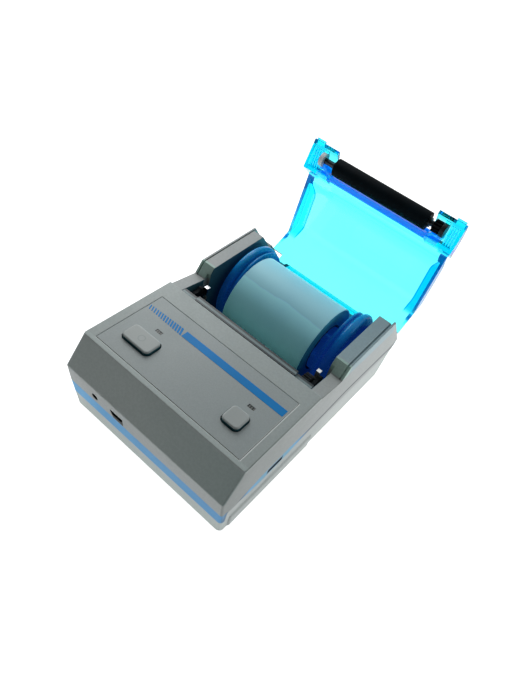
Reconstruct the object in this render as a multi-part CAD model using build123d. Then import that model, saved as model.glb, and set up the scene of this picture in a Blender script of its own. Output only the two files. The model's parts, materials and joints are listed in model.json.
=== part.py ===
from build123d import *
import os
from math import atan2, cos, degrees, hypot, pi, radians, sin, tan

# Portable thermal printer, lid standing open, millimetres.
# While a piece is drawn, Y runs from the front edge of the nose (0) to the tail, X is zero on the
# middle plane and Z is zero on the base. The finished pieces are shifted to the centre of the base.

# Body
body_width = 95.0
body_depth = 147.0
parting_z = 19.7
wall = 2.0
foot_inset_front = 4.9
foot_inset_rear = 5.5
waist_inset_rear = 3.0
foot_corner = 2.6
waist_corner = 1.2
edge_round = 1.0
sill_reach = 0.8
sill_start = 9.0
sill_end = 69.0
sill_top = 13.0

# Front cover and its panel
nose_z = 31.3
brow_y = 9.6
brow_z = 45.6
cover_end_y = 61.6
cover_end_z = 47.0
side_draft = 0.4
cover_skin = 2.0
panel_width = 83.6
panel_margin = 2.7
panel_length = 38.7
panel_depth = 0.9
panel_seam = 0.25
panel_proud = 0.1

# Cheeks, the landing for the lid's ears, and the tail
landing_drop = 1.3
landing_end_y = 79.5
landing_end_z = 43.5
cheek_front_y = 83.5
cheek_front_z = 50.2
cheek_rear_setback = 22.0
cheek_rear_z = 52.9
tail_z = 26.0
cheek_width = 9.0
landing_width = 7.0
cheek_rim = 1.5
groove_width = 0.8
groove_depth = 1.0
lid_bed_gap = 0.35
lid_bed_end_gap = 0.9

# Blue band round the body: broad across the front, swelling round the card slot, then a line
band_depth = 1.2
band_line = 0.35
band_front_low = 11.0
band_front_high = 20.0
band_side_z = 18.4
band_swell = 3.0
band_swell_start = 12.0
band_swell_full = 27.0
band_swell_end = 46.0
band_swell_gone = 64.0
band_crest_y = 95.0
band_crest_z = 24.5
band_rear_z = 23.6

# Lid
lid_open_angle = 100.0
hinge_setback = 12.3
hinge_z = 28.0
lid_skin = 1.6
lid_gap = 0.3
lid_shoulder_z = 52.1
lid_rise_y = 9.5
lid_rise_z = 58.4
lid_crown_z = 60.7
lid_kink_setback = 28.4
lid_foot_turn = 54.0
lid_bend_radius = 9.0
lid_kink_radius = 5.0
lid_barrel_radius = 6.6
lid_barrel_half = 27.8
lid_knuckle_radius = 3.2
hinge_pin_radius = 1.5
hinge_pin_grip = 7.0
running_gap = 0.05
ear_tip_rise = 2.4
ear_top_z = 51.6
ear_reach = 11.0
ear_tab_width = 5.0
ear_tab_reach = 1.0
ear_rib_count = 4
ear_rib_thick = 0.8
cradle_gap = 0.9
cradle_thick = 2.4

# Platen
platen_y = 71.0
platen_z = 45.8
rubber_length = 58.2
rubber_radius = 4.9
platen_shaft_radius = 1.6
collar_radius = 2.6
collar_length = 1.4
bushing_radius = 3.8
bushing_length = 2.4
bushing_inner_x = 36.9

# Print mechanism
head_width = 59.0
head_thick = 1.2
head_low = 11.0
head_top = 0.2
head_gap = 0.3
heatsink_thick = 1.2
leaf_thick = 0.5
frame_plate = 2.0
frame_base_z = 22.8
frame_front_y = 46.0
frame_base_setback = 2.2
gear_module = 0.5
pressure_angle = 20.0
platen_teeth = 12
drive_teeth = 30
idler_teeth = 20
motor_teeth = 12
idler_drop = 20.0
motor_lift = 20.0
gear_width = 4.2
gear_start_x = 32.3
gear_backlash = 0.12
motor_radius = 7.4
motor_length = 17.0
motor_shaft_radius = 0.9
motor_flange = 0.8
bracket_thick = 1.0
stud_radius = 1.2
catch_thick = 0.6
catch_reach = 2.2
catch_width = 2.2
catch_gap = 0.9

# Paper roll and its holders
roll_y = 101.0
roll_z = 32.5
roll_radius = 22.8
roll_front_gap = 1.0
roll_floor_gap = 1.7
roll_width = 49.0
core_radius = 13.7
core_bore = 12.7
hub_gap = 0.3
hub_reach = 2.2
hub_fins = 6
flange_radius = 11.6
flange_thick = 1.4
flange_offset = 2.1
arm_gap = 0.4
arm_thick = 6.9
arm_lip = 1.4
arm_groove = 1.4
arm_lip_radius = 23.0
arm_groove_radius = 21.4
arm_radius = 24.3
arm_round = 1.7
arm_shift_y = 8.5
arm_shift_z = -3.7
arm_rear_y = 130.6
neck_thick = 2.4
neck_length = 5.0
spindle_radius = 2.5
holder_travel = 2.6
rack_module = 1.0
pinion_teeth = 10
rack_height = 2.2
rack_back = 4.0
rack_overlap = 9.0
rack_backlash = 0.3
slide_gap = 0.3

# Roll tray
tray_skin = 1.5
tray_front_gap = 1.3
tray_rear_gap = 0.6
tray_half = 40.6
tray_front_half = 36.4
tray_side_z = 19.2
tray_front_z = 25.7
bay_end_gap = 0.5

# Buttons and windows on the panel
button_y = 25.0
wide_button_x = -27.4
wide_button_size = 16.4
small_button_x = 28.3
small_button_size = 9.2
button_length = 9.5
button_corner = 2.2
button_rise = 1.9
button_gap = 0.5
button_travel = 0.7
window_y = 34.4
window_length = 3.6
window_width = 1.7
window_gap = 0.03
window_offset_wide = 1.1
window_offset_small = 0.8
stripe_y = 42.3
stripe_width = 4.0
stripe_left = -40.7
stripe_break = -18.2
stripe_right = 41.0
stripe_proud = 0.08
tick_count = 14
tick_lean = 0.9
tick_thin = 0.38
tick_full = 0.72
tick_short = 0.62

# Ports in the front wall and the side
jack_x = -29.5
jack_z = 24.4
jack_radius = 1.9
usb_x = -15.3
usb_z = 24.3
usb_top_width = 8.1
usb_low_width = 5.4
usb_height = 3.2
slot_y = 37.1
slot_length = 10.4
slot_height = 1.5
slot_lift = 0.1

# Inside
board_thick = 1.6
main_board_z = 21.2
main_board_length = 41.0
key_board_z = 38.6
switch_body = 6.0
battery_length = 50.0
battery_width = 40.0
battery_height = 11.5
battery_front_y = 11.0
door_thick = 1.6
door_gap = 0.25
screw_inset = 5.0
screw_head_radius = 2.6
screw_shank_radius = 1.3
boss_radius = 3.4

# Derived places
half_width = body_width / 2
hinge_y = body_depth - hinge_setback
cheek_rear_y = body_depth - cheek_rear_setback
bay_half = half_width - cheek_width
landing_inner_x = half_width - landing_width
lid_half = half_width - cheek_rim - lid_gap
ear_half = half_width - lid_gap / 2
front_lean = foot_inset_front / nose_z
cover_slope = (cover_end_z - brow_z) / (cover_end_y - brow_y)
frame_rear_y = roll_y - roll_radius - roll_front_gap
frame_base_rear_y = frame_rear_y - frame_base_setback
tray_floor_z = roll_z - roll_radius - roll_floor_gap
tray_front_y = roll_y - roll_radius - tray_front_gap - tray_skin
tray_rear_y = arm_rear_y + tray_rear_gap + tray_skin
flange_face_x = roll_width / 2 + flange_offset
arm_face_x = flange_face_x + flange_thick + arm_gap
parts = {}


def keep(name, *shapes):
    """Store the solids of one named piece."""
    solids = []
    for shape in shapes:
        solids.extend(shape.solids())
    parts[name] = solids


def block(x_low, x_high, y_low, y_high, z_low, z_high):
    """A box between two corners."""
    centre = Pos((x_low + x_high) / 2, (y_low + y_high) / 2, (z_low + z_high) / 2)
    return centre * Box(x_high - x_low, y_high - y_low, z_high - z_low)


def side_prism(points, x_low, x_high):
    """An outline of (y, z) points carried across the width."""
    outline = Plane.YZ.offset(x_low) * make_face(Polyline(*points, close=True))
    return extrude(outline, amount=x_high - x_low)


def rod_x(x_low, x_high, y, z, radius):
    """A round bar along the width."""
    bar = Cylinder(radius, x_high - x_low, align=(Align.CENTER, Align.CENTER, Align.MIN))
    return Pos(x_low, y, z) * Rot(0, 90, 0) * bar


def rod_z(x, y, z_low, z_high, radius):
    """A round upright bar."""
    bar = Cylinder(radius, z_high - z_low, align=(Align.CENTER, Align.CENTER, Align.MIN))
    return Pos(x, y, z_low) * bar


def mirrored(shape):
    """The same shape on the other side of the middle plane."""
    return mirror(shape, about=Plane.YZ)


def opened(shape):
    """Turn a piece drawn with the lid shut to where it stands with the lid open."""
    return Pos(0, hinge_y, hinge_z) * Rot(-lid_open_angle, 0, 0) * Pos(0, -hinge_y, -hinge_z) * shape


def front_at(z):
    """Depth of the leaning front face at a height."""
    return foot_inset_front - front_lean * z


def cover_at(y):
    """Height of the front cover's top at a depth."""
    return brow_z + cover_slope * (y - brow_y)


def ledge_at(y):
    """Height of the cheek's top line at a depth."""
    rise = (cheek_rear_z - cheek_front_z) / (cheek_rear_y - cheek_front_y)
    return cheek_front_z + rise * (y - cheek_front_y)


def landing_at(y):
    """Height of the low landing behind the front cover."""
    start_z = cover_end_z - landing_drop
    return start_z + (landing_end_z - start_z) * (y - cover_end_y) / (landing_end_y - cover_end_y)


def slope_at(y):
    """Height of the sloping tail at a depth."""
    return cheek_rear_z + (tail_z - cheek_rear_z) * (y - cheek_rear_y) / (body_depth - cheek_rear_y)


def offset_path(points, distance):
    """The corners of a path moved sideways by one distance, to the right of its direction."""
    moved = []
    count = len(points)
    for i in range(count):
        before = points[max(i - 1, 0)]
        after = points[min(i + 1, count - 1)]
        here = points[i]
        turns = []
        for start, end in ((before, here), (here, after)):
            run = hypot(end[0] - start[0], end[1] - start[1])
            if run > 0:
                turns.append(((end[1] - start[1]) / run, -(end[0] - start[0]) / run))
        normal = (sum(t[0] for t in turns), sum(t[1] for t in turns))
        size = hypot(*normal)
        normal = (normal[0] / size, normal[1] / size)
        reach = distance / (normal[0] * turns[0][0] + normal[1] * turns[0][1])
        moved.append((here[0] + normal[0] * reach, here[1] + normal[1] * reach))
    return moved


def involute_gear(teeth, module, width, backlash, phase=0.0):
    """A spur gear about Z, its first tooth centred on the angle phase in degrees."""
    pitch_radius = teeth * module / 2
    base_radius = pitch_radius * cos(radians(pressure_angle))
    tip_radius = pitch_radius + 0.9 * module
    root_radius = pitch_radius - 1.2 * module
    roll_angle = tan(radians(pressure_angle)) - radians(pressure_angle)
    half_tooth = pi / (2 * teeth) - backlash / (2 * pitch_radius)
    steps = 5
    flank = []
    for i in range(steps + 1):
        radius = max(base_radius, root_radius + 0.05)
        radius += (tip_radius - radius) * i / steps
        turn = (max(radius / base_radius, 1.0) ** 2 - 1) ** 0.5
        flank.append((radius, half_tooth + roll_angle - (turn - atan2(turn, 1))))
    points = []
    for tooth in range(teeth):
        middle = radians(phase) + 2 * pi * tooth / teeth
        points.append((root_radius, middle - flank[0][1]))
        points.extend((radius, middle - angle) for radius, angle in flank)
        points.extend((radius, middle + angle) for radius, angle in reversed(flank))
        points.append((root_radius, middle + flank[0][1]))
    outline = Polyline(*[(r * cos(a), r * sin(a)) for r, a in points], close=True)
    return extrude(make_face(outline), amount=width)


def gear_x(teeth, y, z, phase):
    """A gear on an axis along the width; the phase is measured from +Y towards +Z."""
    gear = involute_gear(teeth, gear_module, gear_width, gear_backlash, phase)
    return Plane.YZ.offset(gear_start_x) * Pos(y, z, 0) * gear


def rounded_box(width, length, height, corner, round_top):
    """An upright box with rounded corners, its top edge softened, standing on Z = 0."""
    solid = extrude(RectangleRounded(width, length, corner), amount=height)
    return fillet(solid.edges().group_by(Axis.Z)[-1], round_top)


def plan_section(z, inset):
    """The lower body's outline at a height, drawn in by an inset."""
    share = z / parting_z
    front_y = front_at(z) + inset
    rear_y = body_depth - foot_inset_rear + (foot_inset_rear - waist_inset_rear) * share - inset
    corner = foot_corner + (waist_corner - foot_corner) * share
    corner = max(corner - inset, 0.4)
    outline = RectangleRounded(body_width - 2 * inset, rear_y - front_y, corner)
    return Pos(0, (front_y + rear_y) / 2, z) * outline


def lower_hull(inset, z_low, z_high):
    """The lower body as a solid between two heights."""
    return loft([plan_section(z_low, inset), plan_section(z_high, inset)])


def upper_profile(inset):
    """The upper body's side outline, drawn in from the front, top and tail."""
    rear_waist = body_depth - waist_inset_rear
    points = [
        (front_at(parting_z), parting_z),
        (0, nose_z),
        (brow_y, brow_z),
        (cover_end_y, cover_end_z),
        (cover_end_y, cover_end_z - landing_drop),
        (landing_end_y, landing_end_z),
        (cheek_front_y, cheek_front_z),
        (cheek_rear_y, cheek_rear_z),
        (body_depth, tail_z),
        (rear_waist, parting_z),
    ]
    if inset == 0:
        return points
    drawn_in = offset_path(points, inset)
    drawn_in[0] = (front_at(parting_z) + inset, parting_z)
    drawn_in[-1] = (rear_waist - inset, parting_z)
    return drawn_in


def side_wedges():
    """What the sides' draft takes off above the parting line."""
    top = cheek_rear_z + 10
    lean = side_draft * (top - parting_z) / (cover_end_z - parting_z)
    outline = Polyline((half_width, parting_z), (half_width - lean, top), (half_width + 5, top),
                       (half_width + 5, parting_z), close=True)
    face = Plane.XZ * make_face(outline)
    wedge = extrude(face, amount=-(body_depth + 40))
    wedge = Pos(0, -20, 0) * wedge
    return wedge + mirrored(wedge)


def band_at(y):
    """Height of the band's middle line on the sides at a depth."""
    slot_z = slot_middle_z()
    stations = [(0, band_side_z), (slot_y, slot_z), (band_crest_y, band_crest_z), (body_depth, band_rear_z)]
    for start, end in zip(stations, stations[1:]):
        if y <= end[0]:
            break
    return start[1] + (end[1] - start[1]) * (y - start[0]) / (end[0] - start[0])


def band_zone():
    """The space that the blue band takes, seen from the side, across the whole width."""
    front_edge = front_at(band_front_low) + band_depth + waist_corner
    line = [(front_edge, band_line), (band_swell_start, band_line), (band_swell_full, band_swell),
            (slot_y, band_swell), (band_swell_end, band_swell), (band_swell_gone, band_line),
            (band_crest_y, band_line), (body_depth + 5, band_line)]
    under = [(y, band_at(y) - half) for y, half in line]
    over = [(y, band_at(y) + half) for y, half in reversed(line)]
    front = [(front_edge, band_front_high), (-5, band_front_high), (-5, band_front_low),
             (front_edge, band_front_low)]
    reach = half_width + 5
    return side_prism(under + over + front, -reach, reach)


def upper_hull():
    """The upper body as one closed form, its edges softened."""
    solid = side_prism(upper_profile(0), -half_width, half_width) - side_wedges()
    leading = [edge for edge in solid.edges() if edge.center().Y < brow_y + 1 and edge.length > 3
               and abs(edge.center().X) > half_width / 2]
    upright = [edge for edge in leading if edge.center().Z > parting_z + 0.5]
    return fillet(upright, edge_round)


def screw_places():
    """Where the four case screws stand."""
    rear_y = body_depth - foot_inset_rear - screw_inset
    front_y = foot_inset_front + screw_inset
    side_x = half_width - screw_inset
    return [(x, y) for x in (-side_x, side_x) for y in (front_y, rear_y)]


def battery_box():
    """The battery's corners: x, then y, then z."""
    half = battery_length / 2
    low = door_thick + 0.6
    rear_y = battery_front_y + battery_width
    return (-half, half, battery_front_y, rear_y, low, low + battery_height)


def make_lower_shell(hull, band):
    """The bottom tray of the case, with screw bosses, battery hatch and port notches."""
    foot_z = edge_round
    shell = hull
    sill = Polyline((half_width - 1, 0.8), (half_width + sill_reach, 2.4),
                    (half_width + sill_reach, sill_top - 3), (half_width - 1, sill_top), close=True)
    strip = Pos(0, sill_start, 0) * extrude(Plane.XZ * make_face(sill), amount=-(sill_end - sill_start))
    strip = chamfer(strip.faces().sort_by(Axis.X)[-1].edges().filter_by(Axis.Z), sill_reach * 0.7)
    shell = shell + strip + mirrored(strip)
    shell -= lower_hull(wall, wall, parting_z)
    for x, y in screw_places():
        shell += rod_z(x, y, wall - 0.5, parting_z - 0.4, boss_radius) & lower_hull(0.5, 1, parting_z)
        shell -= rod_z(x, y, -1, parting_z + 1, screw_shank_radius + 0.2)
        shell -= rod_z(x, y, -1, foot_z + 1.4, screw_head_radius + 0.3)
    x_low, x_high, y_low, y_high, z_low, z_high = battery_box()
    shell -= block(x_low - 1, x_high + 1, y_low - 1, y_high + 1, -1, wall + 1)
    for x_rib in (x_low - 2.6, x_high + 1.4):
        shell += block(x_rib, x_rib + 1.2, y_low, y_high, wall - 0.2, z_high - 3)
    post_x = bay_half - 6
    board_front_y = front_at(main_board_z) + wall
    for x_post in (-post_x, post_x):
        for y_post in (tray_front_y + 6, tray_rear_y - 6):
            shell += rod_z(x_post, y_post, wall - 0.2, tray_floor_z - tray_skin, boss_radius)
        for y_post in (frame_base_rear_y - 18, frame_base_rear_y - 6):
            shell += rod_z(x_post, y_post, wall - 0.2, frame_base_z, boss_radius)
        for y_post in (board_front_y + 4, board_front_y + main_board_length - 3):
            shell += rod_z(x_post, y_post, wall - 0.2, main_board_z, boss_radius - 1)
    shell -= band
    shell -= side_slot()
    return shell


def slot_middle_z():
    """Height of the card slot's middle, just over the parting line."""
    return parting_z + slot_lift


def side_slot():
    """The card slot through the right wall."""
    z_middle = slot_middle_z()
    return block(half_width - wall - 1, half_width + 2, slot_y - slot_length / 2,
                 slot_y + slot_length / 2, z_middle - slot_height / 2, z_middle + slot_height / 2)


def slope_run():
    """Direction of the sloping tail and its outward normal."""
    run = hypot(body_depth - cheek_rear_y, tail_z - cheek_rear_z)
    along = ((body_depth - cheek_rear_y) / run, (tail_z - cheek_rear_z) / run)
    return along, (-along[1], along[0])


def on_slope(y, out):
    """A point over the tail's slope, moved outwards by a distance."""
    along, normal = slope_run()
    return (y + normal[0] * out, slope_at(y) + normal[1] * out)


def lid_bed():
    """The recess in the cheeks' tail that the lid's wide back lies in."""
    deep = -(lid_skin + lid_bed_gap)
    end_y = lid_foot_split() + lid_bed_end_gap
    points = [on_slope(cheek_rear_y - 10, deep), on_slope(end_y, deep), on_slope(end_y, 3),
              (cheek_rear_y + 2, cheek_rear_z + 9), on_slope(cheek_rear_y - 10, 6)]
    reach = half_width - cheek_rim
    return side_prism(points, -reach, reach)


def open_lid_room():
    """The room over the tail's middle that the lid needs when it stands open."""
    clear = lid_foot_radius() + lid_gap
    turned = radians(degrees(atan2(slope_run()[1][1], slope_run()[1][0])) - lid_open_angle)
    out = (cos(turned), sin(turned))
    along = (-out[1], out[0])
    base = (hinge_y + out[0] * clear, hinge_z + out[1] * clear)
    far = (base[0] + along[0] * 30, base[1] + along[1] * 30)
    points = [base, far, (far[0], far[1] + 30), (base[0], base[1] + 40)]
    return side_prism(points, -bay_half, bay_half)


def make_upper_shell(hull, band):
    """Side walls, low front wall, cheeks and tail, open in the middle for the paper bay."""
    shell = hull
    cover_reach = half_width + 5
    under_cover = [(-5, nose_z), (0, nose_z), (brow_y, brow_z), (cover_end_y, cover_end_z),
                   (cover_end_y, cover_end_z + 5), (-5, cover_end_z + 5)]
    cover_inner = offset_path([(0, nose_z), (brow_y, brow_z), (cover_end_y, cover_end_z)], cover_skin)
    seat = [(-5, nose_z), (0, nose_z), (cover_inner[0][0], nose_z), cover_inner[1],
            (cover_end_y, cover_inner[2][1]), (cover_end_y, cover_end_z + 5), (-5, cover_end_z + 5)]
    shell -= side_prism(under_cover, -cover_reach, cover_reach)
    shell -= side_prism(seat, -cover_reach, cover_reach)
    nose_inner = front_at(parting_z) + wall
    front_room = [(nose_inner, parting_z - 1), (front_at(nose_z) + wall, nose_z + 1),
                  (cover_inner[1][0] + 0.5, brow_z + 6), (cover_end_y + 0.01, brow_z + 6),
                  (cover_end_y + 0.01, parting_z - 1)]
    inner_x = half_width - wall
    shell -= side_prism(front_room, -inner_x, inner_x)
    shell -= block(-landing_inner_x, landing_inner_x, cover_end_y - 0.01, landing_end_y + 2,
                   parting_z - 1, cheek_rear_z + 10)
    bay_rear = body_depth - waist_inset_rear - wall
    bay_end = hinge_y + lid_foot_radius() + bay_end_gap
    shell -= block(-bay_half, bay_half, landing_end_y, bay_end, parting_z - 1, cheek_rear_z + 10)
    shell -= open_lid_room()
    shell -= block(-inner_x + 1, inner_x - 1, bay_end - 6, bay_rear, parting_z - 1, parting_z + 2)
    cheek_line = [(landing_end_y, landing_end_z), (cheek_front_y, cheek_front_z),
                  (cheek_rear_y, cheek_rear_z), (body_depth, tail_z)]
    cheek_rooms = offset_path(cheek_line, wall + lid_skin + lid_bed_gap)
    room = [(cover_end_y + 1, parting_z - 1), (cover_end_y + 1, landing_at(cover_end_y) - wall),
            (landing_end_y + 1, landing_at(landing_end_y) - wall), cheek_rooms[1], cheek_rooms[2],
            (cheek_rooms[3][0] - 1, cheek_rooms[3][1]), (bay_rear, parting_z - 1)]
    for sign in (-1, 1):
        low, high = sorted((sign * (landing_inner_x + 1.4), sign * inner_x))
        shell -= side_prism(room, low, high)
    groove_low = half_width - cheek_rim - groove_width
    for sign in (-1, 1):
        low, high = sorted((sign * groove_low, sign * (half_width - cheek_rim)))
        cut = [(landing_end_y, landing_end_z - groove_depth), (landing_end_y, cheek_rear_z + 9),
               (cheek_rear_y + 3, cheek_rear_z + 9),
               (cheek_rear_y + 3, ledge_at(cheek_rear_y) - groove_depth),
               (cheek_front_y + 0.6, ledge_at(cheek_front_y) - groove_depth)]
        shell -= side_prism(cut, low, high)
    shell -= lid_bed()
    for sign in (-1, 1):
        low, high = sorted((sign * (bay_half - 0.01), sign * (landing_inner_x + 1.4)))
        shell += rod_x(low, high, hinge_y, hinge_z, lid_knuckle_radius)
        shell -= rod_x(low - 1, high + 1, hinge_y, hinge_z, hinge_pin_radius)
    for x, y in screw_places():
        shell += rod_z(x, y, parting_z - 0.4, parting_z + 6, boss_radius) & hull_core()
        shell -= rod_z(x, y, parting_z - 1, parting_z + 5, screw_shank_radius)
    lower_rim = lower_hull(0, parting_z - 1, parting_z)
    shell -= lower_rim
    shell -= front_ports()
    shell -= side_slot()
    shell -= band
    return shell


def hull_core():
    """The upper body drawn in by half a wall, which keeps the screw bosses inside."""
    points = upper_profile(wall / 2)
    reach = half_width - wall / 2
    core = side_prism(points, -reach, reach)
    return core + block(-reach, reach, 4, body_depth - 5, parting_z - 1, parting_z + 1)


def front_ports():
    """The power jack's hole and the USB opening in the low front wall."""
    jack = Pos(jack_x, -5, jack_z) * Rot(-90, 0, 0) * Cylinder(jack_radius, 12, align=(
        Align.CENTER, Align.CENTER, Align.MIN))
    top = usb_z + usb_height / 2
    low = usb_z - usb_height / 2
    outline = Polyline((usb_x - usb_top_width / 2, top), (usb_x + usb_top_width / 2, top),
                       (usb_x + usb_top_width / 2, usb_z), (usb_x + usb_low_width / 2, low),
                       (usb_x - usb_low_width / 2, low), (usb_x - usb_top_width / 2, usb_z), close=True)
    usb = Pos(0, -5, 0) * extrude(Plane.XZ * make_face(outline), amount=-12)
    return jack + usb


def cover_frame(y, lift=0.0):
    """A plane on the cover's top at a depth, its Z square to the panel."""
    tilt = degrees(atan2(cover_end_z - brow_z, cover_end_y - brow_y))
    return Pos(0, y, cover_at(y) + lift) * Rot(tilt, 0, 0)


def button_pocket(x, size):
    """The hole that a button travels in."""
    width = size + 2 * button_gap
    length = button_length + 2 * button_gap
    hole = extrude(RectangleRounded(width, length, button_corner + button_gap), amount=20)
    return cover_frame(button_y) * Pos(x, 0, -10) * hole


def window_block(x, gap):
    """One indicator window's body, grown by a gap."""
    lens = Box(window_length + 2 * gap, window_width + 2 * gap, 6)
    return cover_frame(window_y) * Pos(x, 0, 0) * lens


def window_places():
    """The windows' places across the panel, one behind each button."""
    return [wide_button_x + window_offset_wide, small_button_x + window_offset_small]


def panel_recess(seam, depth):
    """The shallow rectangle that the panel plate fills, grown by a seam."""
    middle_y = brow_y + panel_margin + panel_length / 2
    plate = Box(panel_width + 2 * seam, panel_length + 2 * seam, depth + 4)
    return cover_frame(middle_y) * Pos(0, 0, 2 - depth / 2) * plate


def make_front_cover(hull):
    """The slanted face and the flat top in front of the bay."""
    reach = half_width + 5
    outer = [(0, nose_z), (brow_y, brow_z), (cover_end_y, cover_end_z)]
    inner = offset_path(outer, cover_skin)
    band = [(-1, nose_z), (-1, cover_end_z + 3), (cover_end_y, cover_end_z + 3),
            (cover_end_y, inner[2][1]), inner[1], (inner[0][0], nose_z)]
    cover = hull & side_prism(band, -reach, reach)
    for x, size in ((wide_button_x, wide_button_size), (small_button_x, small_button_size)):
        cover -= button_pocket(x, size)
    for x in window_places():
        cover -= window_block(x, window_gap)
    cover -= panel_recess(panel_seam, panel_depth)
    hanger_x = panel_width / 2 - 6
    for x in (-hanger_x, hanger_x):
        for y in (brow_y + 8, brow_y + 26):
            cover += rod_z(x, y, switch_top() - 3.4, cover_at(y) - cover_skin + 0.3, 1.6)
    return cover


def make_panel_plate():
    """The inset panel, pierced by the buttons and windows."""
    middle_y = brow_y + panel_margin + panel_length / 2
    plate = Box(panel_width, panel_length, panel_depth + panel_proud)
    plate = cover_frame(middle_y) * Pos(0, 0, (panel_proud - panel_depth) / 2) * plate
    for x, size in ((wide_button_x, wide_button_size), (small_button_x, small_button_size)):
        plate -= button_pocket(x, size)
    for x in window_places():
        plate -= window_block(x, window_gap)
    return plate


def stripe_prism(x_low, x_high, lean, share=1.0):
    """A flat piece of stripe on the panel, its ends leaning, over a share of the stripe's width."""
    half = stripe_width / 2 * share
    lean = lean * share
    outline = Polyline((x_low + lean, -half), (x_high + lean, -half), (x_high - lean, half),
                       (x_low - lean, half), close=True)
    return cover_frame(stripe_y, panel_proud) * extrude(make_face(outline), amount=stripe_proud)


def make_ticks():
    """The slanted ticks in front of the solid stripe, growing towards it."""
    pitch = (stripe_break - tick_lean - stripe_left) / tick_count
    ticks = []
    for i in range(tick_count):
        grown = (i + 1) / tick_count
        thick = tick_thin + (tick_full - tick_thin) * grown
        share = tick_short + (1 - tick_short) * grown
        start = stripe_left + pitch * i
        ticks.append(stripe_prism(start, start + pitch * thick, tick_lean, share))
    return ticks


def make_button(x, size):
    """A raised button with a stem that meets its switch."""
    cap_low = -cover_skin - slide_gap
    cap = rounded_box(size, button_length, button_rise - cap_low, button_corner, 0.7)
    cap = cover_frame(button_y) * Pos(x, 0, cap_low) * cap
    skirt = RectangleRounded(size + 2.4, button_length + 2.4, button_corner + 1)
    skirt = cover_frame(button_y) * Pos(x, 0, cap_low - 0.8) * extrude(skirt, amount=0.8)
    stem_low = switch_top() + button_travel + running_gap
    stem = rod_z(x, button_y, stem_low, cover_at(button_y) + cap_low, 1.6)
    return cap + skirt + stem


def switch_top():
    """Height of a switch's plunger."""
    return cover_at(button_y) - cover_skin - 3.6


def lid_outline():
    """The shut lid's top line from behind the platen to the tail, as corners and bend radii."""
    kink_y = body_depth - lid_kink_setback
    points = [
        (cheek_front_y - 4.5, ear_top_z),
        (cheek_front_y + 1.5, lid_shoulder_z),
        (cheek_front_y + lid_rise_y, lid_rise_z),
        (kink_y, lid_crown_z),
        lid_foot(),
    ]
    radii = [6.0, 14.0, lid_kink_radius]
    return points, radii


def bent_strip(points, radii, thickness, x_low, x_high):
    """A strip of even thickness that follows bends, its outline on the upper side."""
    inner = offset_path(points, thickness)
    inner_radii = []
    for i, radius in enumerate(radii):
        a, b, c = points[i], points[i + 1], points[i + 2]
        cross = (b[0] - a[0]) * (c[1] - b[1]) - (b[1] - a[1]) * (c[0] - b[0])
        inner_radii.append(radius + thickness if cross > 0 else radius - thickness)
    top_line = FilletPolyline(*points, radius=list(radii))
    low_line = FilletPolyline(*inner, radius=inner_radii)
    ends = Line(points[0], inner[0]) + Line(points[-1], inner[-1])
    face = make_face(Curve() + top_line + low_line + ends)
    return extrude(Plane.YZ.offset(x_low) * face, amount=x_high - x_low)


def lid_foot():
    """The point of the tail's slope nearest to the hinge."""
    along, normal = slope_run()
    out = (slope_at(hinge_y) - hinge_z) * normal[1]
    return (hinge_y + normal[0] * out, hinge_z + normal[1] * out)


def lid_foot_radius():
    """Distance from the hinge to the lid's outer face."""
    foot_y, foot_z = lid_foot()
    return hypot(foot_y - hinge_y, foot_z - hinge_z)


def lid_foot_split():
    """Where the wide back of the lid ends and the narrow tongue between the cheeks goes on."""
    return cheek_rear_y + 8.0


def make_lid():
    """The clear lid, drawn shut: panel, side walls, ears, cradle, hinge barrel."""
    points, radii = lid_outline()
    wide = bent_strip(points, radii, lid_skin, -lid_half, lid_half)
    tongue_half = bay_half - slide_gap
    split_y = lid_foot_split()
    for sign in (-1, 1):
        low, high = sorted((sign * tongue_half, sign * (lid_half + 1)))
        wide -= side_prism([on_slope(split_y, -20), on_slope(split_y, 10), on_slope(body_depth + 10, 10),
                            on_slope(body_depth + 10, -20)], low, high)
    lid = wide + lid_curl(tongue_half)
    for sign in (-1, 1):
        lid += lid_side(points, sign)
        lid += lid_ear(sign)
    lid += lid_cradle()
    lid += lid_barrel(points)
    for sign in (-1, 1):
        low, high = sorted((sign * (bushing_inner_x - 0.2), sign * (bushing_inner_x + bushing_length + 0.4)))
        lid -= rod_x(low, high, platen_y, platen_z, bushing_radius)
        low, high = sorted((sign * 20.0, sign * (landing_inner_x + 1)))
        lid -= rod_x(low, high, platen_y, platen_z, platen_shaft_radius + 0.4)
    lid -= rod_x(-rubber_length / 2 - 2, rubber_length / 2 + 2, platen_y, platen_z, rubber_radius + 0.5)
    reach = gear_start_x + gear_width
    tip = gear_module * (platen_teeth / 2 + 1) + 0.5
    lid -= rod_x(gear_start_x - 0.5, reach + 0.4, platen_y, platen_z, tip)
    return lid


def lid_curl(reach):
    """The lid's foot, curled round the hinge."""
    radius = lid_foot_radius()
    foot_y, foot_z = lid_foot()
    start = degrees(atan2(foot_z - hinge_z, foot_y - hinge_y))
    ring = rod_x(-reach, reach, hinge_y, hinge_z, radius)
    ring -= rod_x(-reach, reach, hinge_y, hinge_z, radius - lid_skin)
    sector = [(hinge_y, hinge_z)]
    steps = 6
    for i in range(steps + 1):
        angle = radians(start + 0.5 - (lid_foot_turn + 0.5) * i / steps)
        sector.append((hinge_y + 3 * radius * cos(angle), hinge_z + 3 * radius * sin(angle)))
    return ring & side_prism(sector, -reach, reach)


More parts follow.
